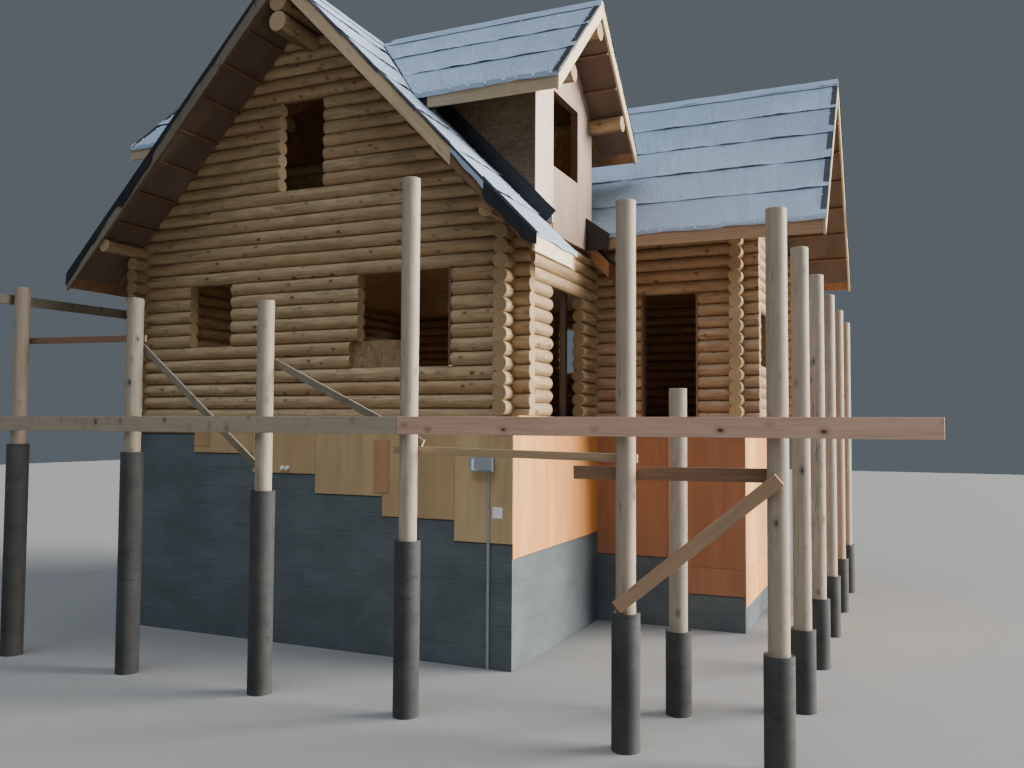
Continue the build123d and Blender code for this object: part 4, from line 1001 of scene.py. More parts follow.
RIGHT_SLOPE = Slope(
    (RIDGE_X, 0, RIDGE_Z), (0, 1, 0), (1, 0, 0), ROOF_PITCH, (EAVE_X - RIDGE_X) / math.cos(ROOF_PITCH)
)
LEFT_SLOPE = Slope((RIDGE_X, 0, RIDGE_Z), (0, 1, 0), (-1, 0, 0), ROOF_PITCH, RIGHT_SLOPE.length)
WING_SPAN = (WING_RIDGE_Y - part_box("wing_fascia")[0].y) / math.cos(ROOF_PITCH)
NEAR_WING_SLOPE = Slope((0, WING_RIDGE_Y, WING_RIDGE_Z), (1, 0, 0), (0, -1, 0), ROOF_PITCH, WING_SPAN)
FAR_WING_SLOPE = Slope((0, WING_RIDGE_Y, WING_RIDGE_Z), (1, 0, 0), (0, 1, 0), ROOF_PITCH, WING_SPAN)


def dormer_slopes(side):
    """The two slopes of the right (1) or left (-1) dormer; s grows outwards from the house."""
    centre = dict(DORMERS)[side]
    length = DORMER_HALF_SPAN / math.cos(DORMER_PITCH)
    return [
        Slope((0, centre, DORMER_RIDGE_Z), (side, 0, 0), (0, level, 0), DORMER_PITCH, length)
        for level in (-1, 1)
    ]


def open_part(start, end, low, high):
    """The stretch of a row, from high to low, where the roof between its two ends is open."""
    t = np.linspace(high, low, 41)
    clear = t[value_at(end, t) - value_at(start, t) > 0.05]
    return (clear[-1], clear[0]) if len(clear) > 1 else None


def felt_row(surfaces, slope, start, end, low, high, rng, lift, droop=0.0):
    """A felt strip: point(s, t) = slope plane + out h(s, t), where h rises to the free lower edge and
    carries small waves; the lower edge wanders by a few millimetres, and below the eave it droops."""
    down = np.array([0.0, 0.2, 0.4, 0.6, 0.75, 0.86, 0.94, 0.98, 1.0])
    t_values = high + (low - high) * down
    first = value_at(start, t_values)
    last = np.maximum(value_at(end, t_values), first + 0.01)
    reach = float(np.max(last - first))
    columns = max(5, int(reach / 0.12) + 1)
    share = np.linspace(0, 1, columns)
    s = first[:, None] + (last - first)[:, None] * share
    t = np.broadcast_to(t_values[:, None], s.shape).copy()
    wander = wrinkles(rng, s, 0.2 * t, 8, 2.2, 0.35)
    t += down[:, None] ** 6 * (0.024 * wander + rng.uniform(-0.012, 0.012) * (2 * share - 1))
    waves = wrinkles(rng, s, t, 9, 1.8, 0.30)
    edge = wrinkles(rng, s, 0.3 * t, 8, 1.1, 0.16)
    height = 0.003 + lift * down[:, None] ** 4 * (0.85 + 1.3 * edge)
    height = height + 0.008 * (waves + 0.45) * (0.3 + down[:, None] * (1.2 - down[:, None]))
    height = np.maximum(height, 0.0022 + 0.004 * down[:, None])
    past = np.maximum(t - slope.length + 0.01, 0.0)
    height = height - droop * past
    top = slope.at(s, t, height + 0.004)
    bottom = slope.at(s, t, height)
    thin_sheet(surfaces, top, bottom, t_values, first[0] + share * reach, rng.uniform())


def moved(limit, shift):
    """A limit moved along the ridge."""
    return lambda t: limit(t) + shift


def felt_slope(surfaces, caps, slope, first, last, rng, breaks=(), overhang=0.035, droop=0.9, flaps=()):
    """Felt strips from the eave up, with cap nails along each lap and between the laps. At a break the
    strip is two rolls, one lapped over the other; a flap folds each strip's end over a rake."""
    roof = bpy.context.scene.cabin_roof
    low = slope.length + overhang
    while low > 0.15:
        start, end = first, last
        high = max(low - roof.exposure - roof.lap, 0.0)
        span = open_part(start, end, low, high)
        if span is None:
            low = high + roof.lap if high > 0 else 0.0
            continue
        if callable(start):
            start = moved(start, rng.uniform(0.0, 0.05))
        if callable(end):
            end = moved(end, -rng.uniform(0.0, 0.05))
        parts = [(start, end, 0.0)]
        for cut in breaks:
            place = cut + rng.uniform(-1.2, 1.2)
            parts = [(start, place + 0.09, 0.0), (place, end, 0.006)]
        for begin, finish, lift in parts:
            felt_row(surfaces, slope, begin, finish, *span, rng, roof.lift + lift, droop)
        for edge, inward, depth in flaps:
            edge_flap(surfaces, slope, edge, inward, span[1] + 0.05, min(low, slope.length), depth, rng)
        nail_rows(caps, slope, start, end, span, rng)
        low = high + roof.lap if high > 0 else 0.0


def nail_rows(caps, slope, start, end, span, rng):
    """Cap nails along a strip's lower edge, and thinner rows in its field."""
    roof = bpy.context.scene.cabin_roof
    low, high = span
    for share, spread, drift in ((0.0, 1.0, 0.012), (0.36, 1.9, 0.06), (0.68, 2.1, 0.06)):
        t = low - 0.035 - share * (low - high)
        if t < 0.05:
            continue
        spot = np.array([t])
        a = float(value_at(start, spot)[0]) + 0.08
        b = float(value_at(end, spot)[0]) - 0.08
        if b - a < 0.3:
            continue
        count = max(2, int((b - a) / (roof.nail_spacing * spread)))
        gap = (b - a) / count
        s = np.clip(np.linspace(a, b, count) + rng.uniform(-0.3, 0.3, count) * gap, a, b)
        t = t + rng.uniform(-drift, drift, count)
        caps.append((slope.at(s, t, np.full(count, 0.016)), np.broadcast_to(slope.out, (count, 3))))


def edge_flap(surfaces, slope, edge, inward, start, end, depth, rng, inner=0.09, lift=0.019, slot=1):
    """Felt folded over a rake: the first rows of points lie on the slope, the others hang plumb, by
    depth(share, run) metres; share runs along the strip and run down the whole slope, both 0 to 1."""
    if end - start < 0.08:
        return
    share = np.linspace(0, 1, max(6, int((end - start) / 0.07)))
    t = start + (end - start) * share
    wave = wrinkles(rng, t[None], np.zeros(1)[:, None], 7, 0.9, 0.12)[0]
    hang = np.maximum(depth(share, t / slope.length) * (1 + 0.2 * wave), 0.006)
    lying = np.array([1.0, 0.5, 0.12, 0.0, 0.0, 0.0, 0.0]) * inner
    proud = np.array([0.0, 0.0, 0.0, 0.004, 0.007, 0.010, 0.011])
    falling = np.array([0.0, 0.0, 0.0, 0.04, 0.35, 0.7, 1.0])
    sway = wrinkles(rng, t[None], falling[:, None], 6, 0.8, 0.25) * 0.004 * falling[:, None]
    s = edge + inward * (lying[:, None] - proud[:, None] - np.abs(sway))
    height = lift + 0.003 * wrinkles(rng, t[None], lying[:, None], 6, 0.9, 0.2)
    top = slope.at(s, np.broadcast_to(t, s.shape), height)
    top[..., 2] -= falling[:, None] * hang[None]
    shift = np.where(falling[:, None, None] > 0, inward * slope.along, -slope.out)
    bottom = top + 0.004 * shift
    v = np.cumsum([0, 0.04, 0.03, 0.02, 0.05, 0.05, 0.05])
    thin_sheet(surfaces, top, bottom, v, t, rng.uniform(), slot)


def cap_nails(surfaces, caps, radius=0.0155, height=0.004, root=0.014):
    """Nail heads: an octagon at the surface and a smaller one above it, for every place at once."""
    places = np.concatenate([c[0] for c in caps])
    out = np.concatenate([c[1] for c in caps])
    side = np.cross(out, np.array([0.31, 0.87, 0.38]))
    side /= np.linalg.norm(side, axis=1)[:, None]
    other = np.cross(out, side)
    angle = np.linspace(0, 2 * np.pi, 8, endpoint=False)
    ring = np.cos(angle)[None, :, None] * side[:, None] + np.sin(angle)[None, :, None] * other[:, None]
    base = places[:, None] - root * out[:, None] + radius * ring
    top = places[:, None] + height * out[:, None] + 0.72 * radius * ring
    points = np.concatenate([base, top], axis=1)
    count = len(places)
    first = (np.arange(count) * 16)[:, None, None]
    k = np.arange(8)
    following = (k + 1) % 8
    quads = np.stack([k, following, following + 8, k + 8], axis=-1)[None] + first
    bottoms = first[:, 0] + k[::-1][None]
    tops = first[:, 0] + 8 + k[None]
    flat = np.zeros((count, 8, 2))
    faces = [
        (quads.reshape(-1, 4), np.zeros((count * 8, 4, 2)), 0, True),
        (bottoms, flat, 0, False),
        (tops, flat, 0, False),
    ]
    surfaces.closed(points, faces, 0.5)


def ridge_cap(surfaces, first, second, start, end, rng, width=0.24, lift=0.020):
    """A strip folded over a ridge, its two flaps on the two slopes."""
    across = np.array([-1.0, -0.6, -0.2, -0.06, 0.0, 0.06, 0.2, 0.6, 1.0]) * width
    columns = max(4, int((end - start) / 0.14))
    s = np.linspace(start, end, columns)
    waves = wrinkles(rng, s[None], across[:, None], 8, 1.6, 0.3)
    edge = 1 + 0.06 * wrinkles(rng, s[None], across[:, None] * 0.2, 6, 1.2, 0.3)
    height = lift + 0.006 * waves
    points = np.zeros((len(across), columns, 3))
    below = np.zeros_like(points)
    for row, w in enumerate(across):
        face = first if w <= 0 else second
        direction = np.array([0, 0, 1.0]) if w == 0 else face.out
        rise = height[row] / (math.cos(face.pitch) if w == 0 else 1.0)
        base = face.ridge + s[:, None] * first.along + (abs(w) * edge[row])[:, None] * face.down
        points[row] = base + (rise + 0.004)[:, None] * direction
        below[row] = base + rise[:, None] * direction
    thin_sheet(surfaces, points, below, across, s, rng.uniform())


def main_height(t):
    """Height of the main roof at t down its slope."""
    return RIDGE_Z - t * math.sin(ROOF_PITCH)


def dormer_half(t):
    """Half the width that a dormer takes from the main slope at t."""
    half = (DORMER_RIDGE_Z - main_height(t)) / math.tan(DORMER_PITCH)
    return np.clip(half, 0.0, DORMER_WIDTH / 2)


def wing_half(t):
    """Half the width that the wing's roof takes from the main slope at t."""
    return np.clip((WING_RIDGE_Z - main_height(t)) / SLOPE, 0.0, None)


def main_slope_x(height):
    """Distance from the main ridge's line to the place where the main roof has a height."""
    return (RIDGE_Z - height) / SLOPE


def t_at(x):
    """How far down the right slope a place across the house lies."""
    return (x - RIDGE_X) / math.cos(ROOF_PITCH)


class CABIN_OT_felt(bpy.types.Operator):
    """Adds the felt strips, ridge caps and cap nails on every slope"""

    bl_idname = "cabin.felt"
    bl_label = "Roof felt"

    def execute(self, context):
        rng = np.random.default_rng(31)
        caps = []
        front, rear = RAKE_EDGE + 0.004, REAR_EDGE - 0.004
        far_dormer = DORMER_Y + DORMER_SHIFT

        def ragged(share, run):
            places = (0, 0.33, 0.34, 0.56, 0.57, 0.72, 0.73, 1)
            depths = (0.05, 0.10, 0.07, 0.13, 0.262, 0.262, 0.12, 0.21)
            return np.interp(run, places, depths) * (0.93 + 0.14 * share ** 2)

        def short(share, run):
            return 0.036 + 0.024 * share

        main = Surfaces()
        felt_slope(
            main, caps, RIGHT_SLOPE, front, lambda t: DORMER_Y - dormer_half(t), rng,
            flaps=[(RAKE_EDGE, 1, short)],
        )
        felt_slope(
            main, caps, RIGHT_SLOPE, lambda t: DORMER_Y + dormer_half(t),
            lambda t: WING_RIDGE_Y - wing_half(t), rng,
        )
        felt_slope(
            main, caps, RIGHT_SLOPE, lambda t: WING_RIDGE_Y + wing_half(t), rear, rng,
            flaps=[(REAR_EDGE, -1, ragged)],
        )
        felt_slope(
            main, caps, LEFT_SLOPE, front, lambda t: far_dormer - dormer_half(t), rng,
            flaps=[(RAKE_EDGE, 1, ragged)],
        )
        felt_slope(
            main, caps, LEFT_SLOPE, lambda t: far_dormer + dormer_half(t), rear, rng, (far_dormer + 3.2,),
            flaps=[(REAR_EDGE, -1, ragged)],
        )
        ridge_cap(main, LEFT_SLOPE, RIGHT_SLOPE, front, rear, rng)
        main.piece("main_roof_felt", ("felt", "membrane"), (), "roof_felt")

        wing = Surfaces()

        def wing_valley(t):
            return RIDGE_X + main_slope_x(WING_RIDGE_Z - t * math.sin(ROOF_PITCH))

        def near_start(t):
            beside = WING_RIDGE_Y - t * math.cos(ROOF_PITCH) < DORMER_Y + DORMER_WIDTH / 2
            return np.where(beside, np.maximum(wing_valley(t), RIGHT_LINE + 0.13), wing_valley(t) + 0.02)

        wing_end = WING_EDGE - 0.004
        felt_slope(
            wing, caps, NEAR_WING_SLOPE, near_start, wing_end, rng, (RIGHT_LINE + 2.2,),
            flaps=[(WING_EDGE, -1, short)],
        )
        felt_slope(
            wing, caps, FAR_WING_SLOPE, wing_valley, wing_end, rng, (RIGHT_LINE + 1.6,),
            flaps=[(WING_EDGE, -1, ragged)],
        )
        ridge_cap(wing, NEAR_WING_SLOPE, FAR_WING_SLOPE, float(wing_valley(0.0)) + 0.1, wing_end, rng)
        wing.piece("wing_roof_felt", ("felt", "membrane"), (), "roof_felt")

        dormers = Surfaces()
        for side in (1, -1):
            def valley(t, side=side):
                return RIDGE_X * side + main_slope_x(DORMER_RIDGE_Z - t * math.sin(DORMER_PITCH))
            edge = side * mirrored(DORMER_EDGE, side)
            slopes = dormer_slopes(side)
            for slope in slopes:
                felt_slope(
                    dormers, caps, slope, valley, edge - 0.004, rng, overhang=0.05,
                    flaps=[(edge, -1, short)],
                )
            ridge_cap(dormers, *slopes, float(valley(0.0)) + 0.25, edge - 0.004, rng)
        dormers.piece("dormer_roof_felt", ("felt", "membrane"), (), "roof_felt")

        nails = Surfaces()
        cap_nails(nails, caps)
        nails.piece("felt_cap_nails", ("cap",), (), "roof_felt")
        return {"FINISHED"}


class CABIN_OT_membrane(bpy.types.Operator):
    """Adds the black strips: folded over the lower rake, turned up the dormer cheeks, at the valleys; the
    black panels at the dormer eave ends are painted shadow
    """

    bl_idname = "cabin.membrane"
    bl_label = "Black edge strips"

    def execute(self, context):
        rng = np.random.default_rng(37)
        strips = Surfaces()
        folded_from = t_at(RIGHT_LINE + 0.005)
        edge_flap(
            strips, RIGHT_SLOPE, RAKE_EDGE, 1, folded_from, RIGHT_SLOPE.length + 0.01,
            lambda share, run: 0.27 - 0.10 * np.clip(share - 0.8, 0, 1) / 0.2, rng, 0.05, 0.026, 0,
        )
        edge_flap(
            strips, RIGHT_SLOPE, RAKE_EDGE, 1, t_at(RIGHT_LINE - 0.47), folded_from + 0.02,
            lambda share, run: 0.12 + 0.05 * share, rng, 0.07, 0.024, 1,
        )
        near = DORMER_Y - DORMER_WIDTH / 2
        for side in (1, -1):
            self.upturn(strips, side, near, -1, rng)
            self.upturn(strips, side, DORMER_Y + DORMER_WIDTH / 2, 1, rng)
        face = RIGHT_LINE + LOG_RADIUS + 0.014
        patch = [(0.0, 0.0), (0.66, -0.03), (0.64, 0.16), (0.0, 0.20)]
        base = RIDGE_Z - SLOPE * (face - RIDGE_X)
        panel(strips, patch, (face, near - 0.012, base - 0.01), (0, 1, 0), (0, 0, 1), 0.005, rng)
        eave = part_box("wing_fascia")[0].y
        corner = house(0.122, 0, 2.79)
        wedge = [(0.0, 0.0), (0.40, 0.0), (0.40, 0.20), (0.42, 0.26), (0.0, 0.56)]
        panel(strips, wedge, (corner[0], eave - 0.055, corner[2]), (1, 0, 0), (0, 0, 1), 0.006, rng)
        # Black panels filling the dormer eave ends between the valley and the eave board: painted shadow.
        top = DORMER_RIDGE_Z - DORMER_SLOPE * DORMER_HALF_SPAN
        inner = main_slope_x(top - 0.02)
        outer = inner + 0.36
        foot = inner + DORMER_DROP / SLOPE
        filler = [(inner, -0.01), (outer, -0.01), (outer, -DORMER_DROP), (foot, -DORMER_DROP)]
        for side, centre in DORMERS:
            for level in (-1, 1):
                y = centre + level * (DORMER_HALF_SPAN - FASCIA)
                points = [(-level * side * x, z) for x, z in filler]
                panel(strips, points, (RIDGE_X, y, top), (-level, 0, 0), (0, 0, 1), 0.006, rng)
        strips.piece("black_edge_strips", ("membrane", "felt"), (), "roof_felt")
        return {"FINISHED"}

    def upturn(self, surfaces, side, y, outward, rng):
        """A strip turned up a cheek: it leans on the cheek above the main slope, with a wavy top."""
        length = np.linspace(t_at(RIGHT_LINE - 1.62), t_at(RIGHT_LINE + 0.28), 30)
        rise = np.array([-0.012, 0.03, 0.08, 0.13, 0.18, 0.225])
        wave = wrinkles(rng, length[None], rise[:, None], 7, 0.9, 0.2)
        height = rise[:, None] * (1 + 0.03 * wave)
        proud = 0.017 + 0.004 * np.abs(wave) + 0.06 * np.exp(-((rise[:, None] + 0.012) / 0.03) ** 2)
        base = RIGHT_SLOPE.at(np.full_like(height, y) + outward * proud, length[None] + 0 * height, height)
        back = base - np.array([0, outward * 0.004, 0])
        if side < 0:
            for points in (base, back):
                points[..., 0] = 2 * RIDGE_X - points[..., 0]
                points[..., 1] += DORMER_SHIFT
        thin_sheet(surfaces, base, back, rise, length, rng.uniform())


# Fascia boards and soffits

def slope_board(surfaces, axis, face, start, end, top_at, drop, rng, slots=(0, 1), tone=None, thick=FASCIA):
    """A board whose ends are cut plumb: a standing rectangle carried along a slope."""
    points = []
    for place in (start, end):
        height = top_at(place) - drop / 2
        points.append((place, face, height) if axis == "x" else (face, place, height))
    through = (0, 1, 0) if axis == "x" else (1, 0, 0)
    board(surfaces, *points, (0, 0, 1), through, drop, thick, rng, slots=slots, tone=tone)


def eave_board(surfaces, axis, edge, outward, start, end, top, drop, pitch, rng, slots=(0, 1), tone=None):
    """An eave board: its top is bevelled to the roof's pitch, and its section is carried level."""
    inner = edge - outward * FASCIA
    fall = FASCIA * math.tan(pitch)
    bevel = 0.003
    section = np.array(
        [
            (inner, top - 0.001), (edge - outward * bevel, top - fall), (edge, top - fall - bevel),
            (edge, top - drop + bevel), (edge - outward * bevel, top - drop), (inner, top - drop),
        ]
    )
    along = np.array([0.0, 1.0])
    path = start + (end - start) * along[:, None]
    side, height, path = np.broadcast_arrays(section[:, 0], section[:, 1], path)
    order = (side, path, height) if axis == "y" else (path, side, height)
    chosen = rng.uniform() if tone is None else tone
    metres = along * abs(end - start) + rng.uniform(0, 60)
    around = profile_lengths(np.vstack([section, section[:1]])) + rng.uniform(0, 40)
    ends = [section - section.mean(axis=0)] * 2
    carried(surfaces, np.stack(order, axis=-1), metres, around, ends, chosen, *slots, False)


class CABIN_OT_fascia(bpy.types.Operator):
    """Adds the rake and eave boards of every roof"""

    bl_idname = "cabin.fascia"
    bl_label = "Fascia boards"

    def execute(self, context):
        rng = np.random.default_rng(41)
        woods = ("board", "board_end", "fresh")

        def main_top(x):
            return RIDGE_Z - SLOPE * abs(x - RIDGE_X)

        rakes = Surfaces()
        left_eave = 2 * RIDGE_X - EAVE_X
        board_end = RIGHT_LINE - 0.458
        runs = [
            (RAKE_EDGE + FASCIA / 2, RIDGE_X, board_end, 0, FASCIA),
            (RAKE_EDGE + FASCIA - 0.009, board_end, EAVE_X - FASCIA, 3, 0.018),
            # Slot 4 is the dark board copy: painted shade on the left rake.
            (RAKE_EDGE + FASCIA / 2, RIDGE_X, left_eave, 4, FASCIA),
            (REAR_EDGE - FASCIA / 2, RIDGE_X, EAVE_X, 0, FASCIA),
            (REAR_EDGE - FASCIA / 2, RIDGE_X, left_eave, 0, FASCIA),
        ]
        for face, start, outer, slot, thick in runs:
            joint = start + (outer - start) * rng.uniform(0.55, 0.7)
            for ends in ((start, joint), (joint, outer)):
                slope_board(rakes, "x", face, *ends, main_top, ROOF_DROP, rng, (slot, 1), None, thick)
        rakes.piece("rake_boards", (*woods, "ruddy", "aged"), ["rake_fascia"], "sawn_wood")

        eaves = Surfaces()
        near, far = DORMER_Y - DORMER_WIDTH / 2, DORMER_Y + DORMER_WIDTH / 2
        rear = REAR_EDGE - FASCIA
        top = main_top(EAVE_X - FASCIA)
        spans = [
            (EAVE_X, 1, RAKE_EDGE, near - 0.2, 2),
            (EAVE_X, 1, REAR_LINE + LOG_RADIUS, rear, 0),
            (left_eave, -1, RAKE_EDGE + FASCIA, near + DORMER_SHIFT, 0),
            (left_eave, -1, far + DORMER_SHIFT, rear, 0),
        ]
        for x, outward, start, end, slot in spans:
            eave_board(eaves, "y", x, outward, start, end, top, ROOF_DROP, ROOF_PITCH, rng, (slot, 1), 0.1)
        short = RIGHT_LINE + 0.43
        slope_board(
            eaves, "x", far - 0.012, RIGHT_LINE + 0.12, short, main_top, ROOF_DROP, rng, (3, 1), 0.2, 0.02
        )
        eaves.piece("eave_boards", (*woods, "orange"), ["eave_fascia"], "sawn_wood")

        wing = Surfaces()
        low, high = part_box("wing_fascia")
        for outer in (low.y, high.y):
            slope_board(
                wing, "y", WING_EDGE - FASCIA / 2, WING_RIDGE_Y, outer,
                lambda y: WING_RIDGE_Z - SLOPE * abs(y - WING_RIDGE_Y), ROOF_DROP, rng, (2, 1),
            )
        top = WING_RIDGE_Z - SLOPE * (WING_RIDGE_Y - low.y - FASCIA)
        valley = RIDGE_X + main_slope_x(top)
        for y, outward in ((low.y, -1), (high.y, 1)):
            start = max(valley, RIGHT_LINE + 0.5) if outward < 0 else valley
            end = WING_EDGE - FASCIA
            eave_board(wing, "x", y, outward, start, end, top, ROOF_DROP, ROOF_PITCH, rng, (3, 1), 0.3)
        wing.piece("wing_boards", (*woods, "tan"), ["wing_fascia"], "sawn_wood")

        dormers = Surfaces()
        top = DORMER_RIDGE_Z - DORMER_SLOPE * (DORMER_HALF_SPAN - FASCIA)
        for side, centre in DORMERS:
            edge = mirrored(DORMER_EDGE, side)
            for level in (-1, 1):
                outer = centre + level * DORMER_HALF_SPAN
                slope_board(
                    dormers, "y", edge - side * FASCIA / 2, centre, outer,
                    lambda y, centre=centre: DORMER_RIDGE_Z - DORMER_SLOPE * abs(y - centre),
                    DORMER_DROP, rng, (2, 1),
                )
                start = RIDGE_X + side * (main_slope_x(top) + 0.28)
                ends = sorted((start, edge - side * FASCIA))
                eave_board(
                    dormers, "x", outer, level, *ends, top, DORMER_DROP, DORMER_PITCH, rng, (0, 1), 0.95
                )
        dormers.piece("dormer_boards", woods, ["dormer_fascia"], "sawn_wood")
        return {"FINISHED"}


class CABIN_OT_soffits(bpy.types.Operator):
    """Adds the sheets and lookouts under the rakes"""

    bl_idname = "cabin.soffits"
    bl_label = "Soffits"

    def execute(self, context):
        rng = np.random.default_rng(43)
        soffits = Surfaces()
        inner = FRONT_LINE - LOG_RADIUS
        ends = (RAKE_EDGE + FASCIA, inner)
        back = (REAR_LINE + LOG_RADIUS, REAR_EDGE - FASCIA)
        for slope in (RIGHT_SLOPE, LEFT_SLOPE):
            for span in (ends, back):
                self.underside(soffits, slope, span, 0.30, slope.length - 0.06, rng)
        for slope in (NEAR_WING_SLOPE, FAR_WING_SLOPE):
            span = (WING_LINE + LOG_RADIUS, WING_EDGE - FASCIA)
            self.underside(soffits, slope, span, 0.26, slope.length - 0.06, rng)
        for side in (1, -1):
            span = [side * mirrored(x, side) for x in (RIGHT_LINE + LOG_RADIUS, DORMER_EDGE - FASCIA)]
            for slope in dormer_slopes(side):
                self.underside(soffits, slope, span, 0.26, slope.length - 0.06, rng)
        soffits.piece("soffit_sheets", ("soffit", "ruddy"), (), "plywood")
        return {"FINISHED"}

    def underside(self, surfaces, slope, span, high, low, rng, pitch=0.61):
        """Sheets a few millimetres thick with a lookout under each seam."""
        thick = 0.009
        depth = ROOF_THICKNESS + thick / 2
        width = span[1] - span[0]
        middle_s = (span[0] + span[1]) / 2
        t = low
        while t > high:
            upper = max(t - pitch, high)
            start = slope.at(middle_s, upper + 0.003, -depth)
            end = slope.at(middle_s, t, -depth)
            board(surfaces, start, end, slope.along, slope.out, width, thick, rng, 0.001, (0, 0))
            if upper > high:
                below = ROOF_THICKNESS + thick + 0.022
                board(
                    surfaces, slope.at(span[0], upper, -below), slope.at(span[1], upper, -below),
                    slope.down, slope.out, STUD, 0.044, rng, 0.004, (1, 1),
                )
            t = upper


class CABIN_OT_dormer_sheets(bpy.types.Operator):
    """Adds the plywood on the dormer faces, its nails, and the strand board on the cheeks"""

    bl_idname = "cabin.dormer_sheets"
    bl_label = "Dormer sheets"

    def execute(self, context):
        rng = np.random.default_rng(47)
        sheets = Surfaces()
        heads = []
        face = RIGHT_LINE + LOG_RADIUS
        half = DORMER_WIDTH / 2
        roof = DORMER_UNDERSIDE - 0.01
        foot = RIDGE_Z - SLOPE * (face - RIDGE_X) - 0.02
        plate = FLOOR_TOP + 2.8
        low, high = FLOOR_TOP + 3.83, FLOOR_TOP + 5.01
        jamb = 1.11 / 2
        gap = 0.002

        def ceiling(v):
            return roof - DORMER_SLOPE * abs(v)

        outlines = [
            [
                (-half - SHEET, foot), (-jamb - gap, foot), (-jamb - gap, ceiling(jamb)),
                (-half - SHEET, ceiling(half)),
            ],
            [(jamb + gap, plate), (half, plate), (half, ceiling(half)), (jamb + gap, ceiling(jamb))],
            [(-jamb, plate), (jamb, plate), (jamb, low), (-jamb, low)],
            [(-jamb, high), (jamb, high), (jamb, ceiling(jamb)), (0, ceiling(0)), (-jamb, ceiling(jamb))],
        ]
        cheek_top = ceiling(half)
        back = RIDGE_X + main_slope_x(cheek_top)
        cheek = [(back, cheek_top), (face, RIDGE_Z - SLOPE * (face - RIDGE_X)), (face, cheek_top)]
        for side, centre in DORMERS:
            plane = mirrored(face, side)
            for outline, slot in zip(outlines, (0, 2, 2, 2)):
                points = [(side * y, z) for y, z in outline]
                panel(sheets, points, (plane, centre, 0), (0, side, 0), (0, 0, 1), SHEET, rng, slot)
            # The cheeks take slot 1, the darker strand copy that stands for painted shade.
            for level in (-1, 1):
                y = centre + level * half
                points = [(-level * mirrored(x, side), z) for x, z in cheek]
                panel(sheets, points, (0, y, 0), (-level, 0, 0), (0, 0, 1), SHEET - 0.002, rng, 1, tone=0.5)
            for row in (0.16, 0.42, 0.60):
                z = np.arange(foot + 0.5, ceiling(half) - 0.1, 0.2) + rng.uniform(-0.03, 0.03)
                z = z + rng.uniform(-0.03, 0.03, len(z))
                y = centre - half + row + rng.uniform(-0.02, 0.02, len(z))
                x = np.full(len(z), plane + side * SHEET)
                out = np.broadcast_to(np.array([side, 0, 0.0]), (len(z), 3))
                heads.append((np.stack([x, y, z], axis=-1), out))
        sheets.piece("dormer_sheets", ("face_plywood", "dark_strand", "face_panel"), (), "plywood")
        nails = Surfaces()
        cap_nails(nails, heads, 0.011, 0.0025, 0.003)
        nails.piece("dormer_nails", ("nail",), (), "sawn_wood")
        return {"FINISHED"}


class CABIN_OT_skirt(bpy.types.Operator):
    """Adds the plywood sheets over the skirt and the floor's edge; levels are from the floor"""

    bl_idname = "cabin.skirt"
    bl_label = "Plywood skirt"

    def execute(self, context):
        rng = np.random.default_rng(51)
        sheets = Surfaces()
        width = context.scene.cabin_sheets.sheet_width
        left, first, last = -6.8, -5.49, -0.778
        steps, top_level, fall = 4, -0.32, 0.288
        run = (last - first) / steps
        self.sheet(sheets, "x", -WALL_FACE, -1, left, first, -0.29, rng, 0)
        for step in range(steps):
            start = first + step * run
            level = top_level - fall * (step + 1)
            self.sheet(sheets, "x", -WALL_FACE, -1, start, start + run, level, rng, 0)
        level = top_level - fall * (steps + 1)
        self.sheet(sheets, "x", -WALL_FACE, -1, last, WALL_FACE + SHEET, level, rng, 0)
        rear = REAR_LINE - FRONT_LINE + WALL_FACE
        wing_front = WING_FRONT - FRONT_LINE - WALL_FACE
        wing_face = WING_LINE - RIGHT_LINE + WALL_FACE
        left_face = LEFT_LINE - RIGHT_LINE - WALL_FACE
        runs = [
            ("y", WALL_FACE, 1, -WALL_FACE, wing_front - SHEET, -1.96, 1),
            ("x", wing_front, -1, WALL_FACE, 1.45, -2.325, 2),
            ("x", wing_front, -1, 1.45, wing_face + SHEET, -2.89, 2),
            ("y", wing_face, 1, wing_front, rear, -3.06, 1),
            ("y", left_face, -1, -WALL_FACE, rear, -0.3, 0),
            ("x", rear, 1, left_face, -4.5, -0.3, 0),
            ("x", rear, 1, -4.5, -2.2, -1.184, 0),
            ("x", rear, 1, -2.2, 1.45, -1.96, 0),
            ("x", rear, 1, 1.45, wing_face, -3.06, 0),
        ]
        for axis, face, outward, start, end, level, slot in runs:
            while start < end - 0.05:
                stop = min(start + width, end)
                self.sheet(sheets, axis, face, outward, start, stop, level, rng, slot)
                start = stop
        patches = [(-2.104, -1.839, -0.362, -1.122, 3), (-5.483, -5.167, -0.273, -0.493, 3)]
        for low, high, top, bottom, slot in patches:
            ends = [house((low + high) / 2, -WALL_FACE - 0.016, z) for z in (bottom, top)]
            board(sheets, *ends, (1, 0, 0), (0, 1, 0), high - low, 0.008, rng, 0.001, (slot, slot), 0.6)
        finishes = ("plywood", "side_plywood", "deep_plywood", "patch_plywood")
        sheets.piece("skirt_sheets", finishes, (), "plywood")
        return {"FINISHED"}

    def sheet(self, surfaces, axis, face, outward, start, end, level, rng, slot):
        """A standing sheet, in two pieces where the wall is taller than a sheet."""
        joint = -2.44
        # Sheets stop short of the concrete and of each other, so the near-black sill behind shows as a
        # painted shadow line.
        bottoms = [level + 0.014] if level > joint else [joint, level + 0.014]
        top = -0.004
        middle_along = (start + end) / 2
        for bottom in bottoms:
            across = face + outward * (SHEET / 2 + rng.uniform(0, 0.002))
            if axis == "x":
                low, high = house(middle_along, across, bottom), house(middle_along, across, top)
                directions = (1, 0, 0), (0, 1, 0)
            else:
                low, high = house(across, middle_along, bottom), house(across, middle_along, top)
                directions = (0, 1, 0), (1, 0, 0)
            board(surfaces, low, high, *directions, end - start - 0.004, SHEET, rng, 0.001, (slot, slot))
            top = bottom - 0.004


# Porch

